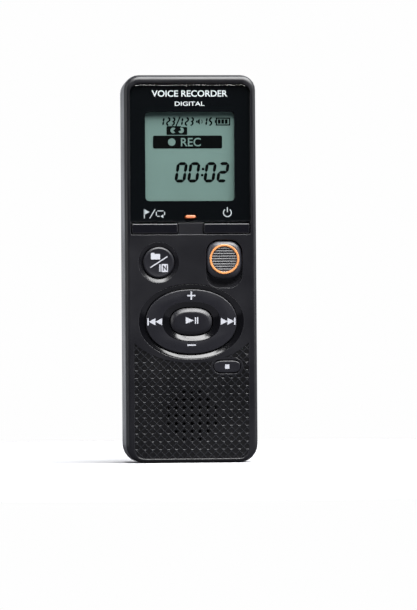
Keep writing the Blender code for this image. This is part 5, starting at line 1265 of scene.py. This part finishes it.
def makeFlagAndLoop(x, z, y, thick):
    w = windowInk
    ink = bmesh.new()
    addPlate(ink, barCorners(x, z - 1.3 * mm, x, z + 1.25 * mm, 0.25 * mm), y, thick)
    addPlate(ink, ((x, z - 0.3 * mm), (x + 1.45 * mm, z + 0.45 * mm), (x, z + 1.25 * mm)), y, thick)
    addPlate(ink, barCorners(w["slashFrom"] * mm, z - 1.3 * mm, w["slashTo"] * mm, z + 1.2 * mm, 0.23 * mm),
             y, thick)
    left, right, width = w["loopFrom"] * mm, w["loopTo"] * mm, w["loopStroke"]
    low, high = z - w["loopHalfHigh"], z + w["loopHalfHigh"]
    addPlate(ink, barCorners(left + 0.3 * mm, high, right - 0.3 * mm, high, width), y, thick)
    addPlate(ink, barCorners(left, low + 0.2 * mm, left, high - 0.25 * mm, width), y, thick)
    addPlate(ink, barCorners(right, low + 0.35 * mm, right, high - 0.25 * mm, width), y, thick)
    addPlate(ink, barCorners(left + 0.2 * mm, low, left + 0.95 * mm, low, width), y, thick)
    addPlate(ink, ((left + 1.15 * mm, low), (left + 1.95 * mm, low - 0.5 * mm),
                   (left + 1.95 * mm, low + 0.5 * mm)), y, thick)
    closeUp(ink)
    finishPiece("windowSigns", ink, finish["print"], "case")


def makePowerSign(at, y, thick):
    stroke = windowInk["powerStroke"]
    ring = bmesh.new()
    addArc(ring, at, windowInk["powerRadius"], stroke, y, thick, 128, 284, 36)
    closeUp(ring)
    finishPiece("powerSignRing", ring, finish["print"], "case")
    bar = bmesh.new()
    addPlate(bar, barCorners(at[0], at[1] + 0.15 * mm, at[0], at[1] + 1.5 * mm, stroke), y, thick)
    closeUp(bar)
    finishPiece("powerSignBar", bar, finish["print"], "case")


def addTriangle(bm, tipX, baseX, z, half, y, thickness):
    addPlate(bm, ((tipX, z), (baseX, z + half), (baseX, z - half)), y, thickness)


keyInk = {
    "thick": 0.03 * mm,
    "padRise": 0.02 * mm,  # in front of the pad's face
    "playSink": 0.02 * mm,  # the other keys are dished, so their signs start behind the rim
    "stopSink": 0.015 * mm,
    "folderSink": 0.005 * mm,
    "folderThick": 0.13 * mm,  # reaches down into the dish
    "padSignUp": 7.2 * mm,
    "plusArm": 1.15 * mm,
    "plusHalf": 0.2 * mm,
    "skipOut": 12.1 * mm,
    "skipLong": 1.85,  # mm, of each of its two triangles
    "skipHalf": 0.98 * mm,
}


# on the pad: plus, minus, back and forward
def makePadSigns():
    k = keyInk
    y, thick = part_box("direction_pad")[0].y - k["padRise"], k["thick"]
    x, z = padAt.x, padAt.z
    ink = bmesh.new()
    plusZ, arm, half = z + k["padSignUp"], k["plusArm"], k["plusHalf"]
    addPlate(ink, boxCorners(x - arm, plusZ - half, x + arm, plusZ + half), y, thick)
    # the upright is two pieces, so that nothing overlaps at the crossing
    for low, high in ((-arm, -half), (half, arm)):
        addPlate(ink, boxCorners(x - half, plusZ + low, x + half, plusZ + high), y, thick)
    addPlate(ink, boxCorners(x - 1.2 * mm, z - 6.75 * mm, x + 1.2 * mm, z - 6.35 * mm), y, thick)
    half = k["skipHalf"]
    for side in (-1, 1):
        outer = side * k["skipOut"]
        addPlate(ink, barCorners(x + outer, z - half, x + outer, z + half, 0.4 * mm), y, thick)
        for step in (0, 1):
            tip = outer - side * (0.2 + k["skipLong"] * step) * mm
            addTriangle(ink, x + tip, x + tip - side * k["skipLong"] * mm, z, half, y, thick)
    bmesh.ops.recalc_face_normals(ink, faces=ink.faces)
    finishPiece("padSigns", ink, finish["print"], "pad")


def makePlaySign():
    y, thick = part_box("play_button")[0].y + keyInk["playSink"], keyInk["thick"]
    x, z, half = playAt.x, playAt.z + 0.3 * mm, 0.92 * mm
    ink = bmesh.new()
    addTriangle(ink, x + 0.65 * mm, x - 1.6 * mm, z, 0.95 * mm, y, thick)
    for left in (0.95, 1.55):
        addPlate(ink, boxCorners(x + left * mm, z - half, x + (left + 0.34) * mm, z + half), y, thick)
    bmesh.ops.recalc_face_normals(ink, faces=ink.faces)
    finishPiece("playSign", ink, finish["print"], "play_key")


def makeStopSign():
    y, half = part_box("stop_button")[0].y + keyInk["stopSink"], 0.6 * mm
    ink = bmesh.new()
    addPlate(ink, boxCorners(stopAt.x - half, stopAt.z - half, stopAt.x + half, stopAt.z + half),
             y, keyInk["thick"])
    bmesh.ops.recalc_face_normals(ink, faces=ink.faces)
    finishPiece("stopSign", ink, finish["print"], "stop_key")


# folder, stroke and page
def makeFolderSigns():
    y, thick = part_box("folder_button")[0].y + keyInk["folderSink"], keyInk["folderThick"]
    x, z = folderAt.x, folderAt.z
    ink = bmesh.new()
    addPlate(ink, boxCorners(x - 2.2 * mm, z + 0.8 * mm, x + 0.4 * mm, z + 2.35 * mm), y, thick,
             cornerRadius=0.12 * mm)
    addPlate(ink, boxCorners(x - 2.2 * mm, z + 2.2 * mm, x - 1.15 * mm, z + 2.65 * mm),
             y + 0.001 * mm, thick, cornerRadius=0.12 * mm)
    addPlate(ink, barCorners(x - 2.35 * mm, z - 1.45 * mm, x + 2.4 * mm, z + 1.6 * mm, 0.3 * mm), y, thick)
    addPlate(ink, boxCorners(x + 0.85 * mm, z - 2.7 * mm, x + 2.55 * mm, z - 0.45 * mm), y, thick)
    for step in (0, 1):
        edge = x + (0.1 + 0.38 * step) * mm
        addPlate(ink, boxCorners(edge, z - 2.6 * mm, edge + 0.22 * mm, z - 0.55 * mm), y, thick)
    bmesh.ops.recalc_face_normals(ink, faces=ink.faces)
    finishPiece("folderSigns", ink, finish["print"], "folder_key")
    letter = bmesh.new()
    addText(letter, "N", (x + 1.7 * mm, z - 1.57 * mm), 1.5 * mm, y - 0.004 * mm, 0.003 * mm, stretch=0.8,
            bold=0.03)
    finishPiece("pageLetter", letter, finish["keys"], "folder_key")


def makePrints():
    makeWindowPrints()
    makePadSigns()
    makePlaySign()
    makeStopSign()
    makeFolderSigns()
    print("signs printed")


# which finish each CAD node takes
nodeLooks = {
    "steel": ("usb_socket", "slide_switch", "speaker_frame", "speaker_magnet", "microphone_capsule",
              "door_hinge_pin", "board_screw_1", "board_screw_2"),
    "darkSteel": ("case_screw_1", "case_screw_2", "case_screw_3", "case_screw_4"),
    "silicone": ("keypad_mat", "microphone_boot", "speaker_gasket", "display_connector_strip"),
    "board": ("circuit_board",),
    "epoxy": ("main_processor", "memory_chip", "audio_amplifier"),
    "socket": ("microphone_jack", "earphone_jack", "usb_tongue", "slide_switch_lever", "display_holder"),
    "film": ("speaker_cone",),
    "lamp": ("record_lamp_lens",),
    "lcd": ("record_lamp_chip", "display_panel"),
    "redWire": ("speaker_wire_red",),
    "blackWire": ("speaker_wire_black",),
    "cellLeft": ("battery_left",),
    "cellRight": ("battery_right",),
}
springStarts = ("dome_", "battery_spring", "battery_link", "battery_plus", "battery_minus", "pad_rocker")
lampShare = (0.87, 0.8)  # the lens is drawn this much of its node's width and height


def dressNodes():
    springs = [node for node in frame["nodes"] if node.startswith(springStarts)]
    for look, nodes in [*nodeLooks.items(), ("spring", springs)]:
        for node in nodes:
            slots = frame["nodes"][node].data.materials
            if len(slots):
                slots[0] = finish[look]
            else:
                slots.append(finish[look])
    for node in ("microphone_jack", "earphone_jack"):
        smoothCopy(node, node.replace("_jack", "Jack"), finish["socket"], 35)
    lamp = smoothCopy("record_lamp_lens", "recordLampLens", finish["lamp"], 45)
    middle = centreOf("record_lamp_lens")
    for vert in lamp.data.vertices:
        vert.co.x = middle.x + (vert.co.x - middle.x) * lampShare[0]
        vert.co.z = middle.z + (vert.co.z - middle.z) * lampShare[1]
    for side in ("Left", "Right"):
        smoothCopy("battery_" + side.lower(), "cell" + side, finish["cell" + side], 35)
    print("nodes dressed")


studio = {
    "distance": 1.1,
    "azimuth": -5.0,
    "elevation": -0.8,
    "roll": -0.4,
    "viewHigh": 171.1 * mm,  # height of the view at the case
    "aimAside": 5.6 * mm,  # the case stands left of and above the middle of the view
    "aimUp": -10.0 * mm,
    "floorRadius": 0.3,
    "softboxWide": 0.35,
    "softboxHigh": 0.6,
    "softboxes": (("leftSoftbox", (-0.75, -0.25, 0.3), 1.5), ("rightSoftbox", (0.75, -0.2, 0.3), 1.4)),
    "panelDistance": 0.7,
    # a wide panel high in front, for the sheen of the faces and of the case's upper edge
    "overheadPanel": {"rise": 70, "aside": 0.2, "wide": 1.1, "high": 0.38, "power": 19.0},
    # a strip lower down, for the bright crescents in the recesses round the keys
    "frontStrip": {"rise": 47, "aside": 0.3, "wide": 1.1, "high": 0.13, "power": 6.2},
    "roomDark": 0.03,
    "roomLight": 0.9,
}


def makeFloor():
    floor = bmesh.new()
    bmesh.ops.create_circle(floor, cap_ends=True, segments=96, radius=studio["floorRadius"])
    mesh = bpy.data.meshes.new("studioFloor")
    floor.to_mesh(mesh)
    floor.free()
    plane = bpy.data.objects.new("studioFloor", mesh)
    bpy.context.scene.collection.objects.link(plane)
    mesh.materials.append(finish["floor"])


def makeLight(name, place, aim, wide, high, power):
    data = bpy.data.lights.new(name, "AREA")
    data.shape = "RECTANGLE"
    data.size, data.size_y = wide, high
    data.energy = power
    light = bpy.data.objects.new(name, data)
    bpy.context.scene.collection.objects.link(light)
    light.location = place
    light.rotation_euler = (Vector(aim) - Vector(place)).to_track_quat("-Z", "Y").to_euler()


def makeLights(centre):
    s = studio
    for name, place, power in s["softboxes"]:
        makeLight(name, place, centre, s["softboxWide"], s["softboxHigh"], power)
    for name in ("overheadPanel", "frontStrip"):
        panel = s[name]
        rise = math.radians(panel["rise"])
        place = centre + Vector((panel["aside"], -math.cos(rise) * s["panelDistance"],
                                 math.sin(rise) * s["panelDistance"]))
        makeLight(name, place, centre, panel["wide"], panel["high"], panel["power"])


# a bright backdrop behind the piece and a dark room in front of it
def makeRoom():
    world = bpy.data.worlds.new("softRoom")
    bpy.context.scene.world = world
    world.use_nodes = True
    tree = world.node_tree
    tree.nodes.clear()
    way = addNode(tree, "ShaderNodeTexCoord").outputs["Generated"]
    depth = addNode(tree, "ShaderNodeSeparateXYZ", links={0: way}).outputs["Y"]
    glow = addNode(tree, "ShaderNodeMapRange",
                   {"From Min": -0.35, "From Max": 0.75, "To Min": studio["roomDark"],
                    "To Max": studio["roomLight"]},
                   {"Value": depth})
    seen = addNode(tree, "ShaderNodeLightPath").outputs["Is Camera Ray"]
    room = addNode(tree, "ShaderNodeBackground", {"Color": linear("#eef1f8")}, {"Strength": glow.outputs[0]})
    backdrop = addNode(tree, "ShaderNodeBackground", {"Color": linear("#fefefe"), "Strength": 1.0})
    both = addNode(tree, "ShaderNodeMixShader", links={0: seen, 1: room.outputs[0], 2: backdrop.outputs[0]})
    addNode(tree, "ShaderNodeOutputWorld", links={"Surface": both.outputs[0]})
    bpy.context.scene.view_settings.view_transform = "Standard"


def makeCamera(centre):
    s = studio
    camera = bpy.data.objects.new("mainCamera", bpy.data.cameras.new("mainCamera"))
    bpy.context.scene.collection.objects.link(camera)
    bpy.context.scene.camera = camera
    turn, rise = math.radians(s["azimuth"]), math.radians(s["elevation"])
    back = Vector((math.sin(turn) * math.cos(rise), -math.cos(turn) * math.cos(rise), math.sin(rise)))
    camera.data.sensor_width = 36
    camera.data.lens = camera.data.sensor_width * s["distance"] / s["viewHigh"]
    right = Vector((math.cos(turn), math.sin(turn), 0))
    aim = centre + right * s["aimAside"] + Vector((0, 0, s["aimUp"]))
    camera.location = aim + back * s["distance"]
    facing = (-back).to_track_quat("-Z", "Y").to_matrix().to_4x4()
    camera.matrix_world = (Matrix.Translation(camera.location) @ facing
                           @ Matrix.Rotation(math.radians(s["roll"]), 4, "Z"))
    camera.data.clip_start, camera.data.clip_end = 0.05, 20


def makeStudio():
    centre = Vector((0, 0, topZ / 2))
    makeFloor()
    makeLights(centre)
    makeRoom()
    makeCamera(centre)
    print("studio made")


makeStudio()
makeCase()
makeGrille()
makeKeys()
makeWindow()
makeDisplay()
makePrints()
dressNodes()
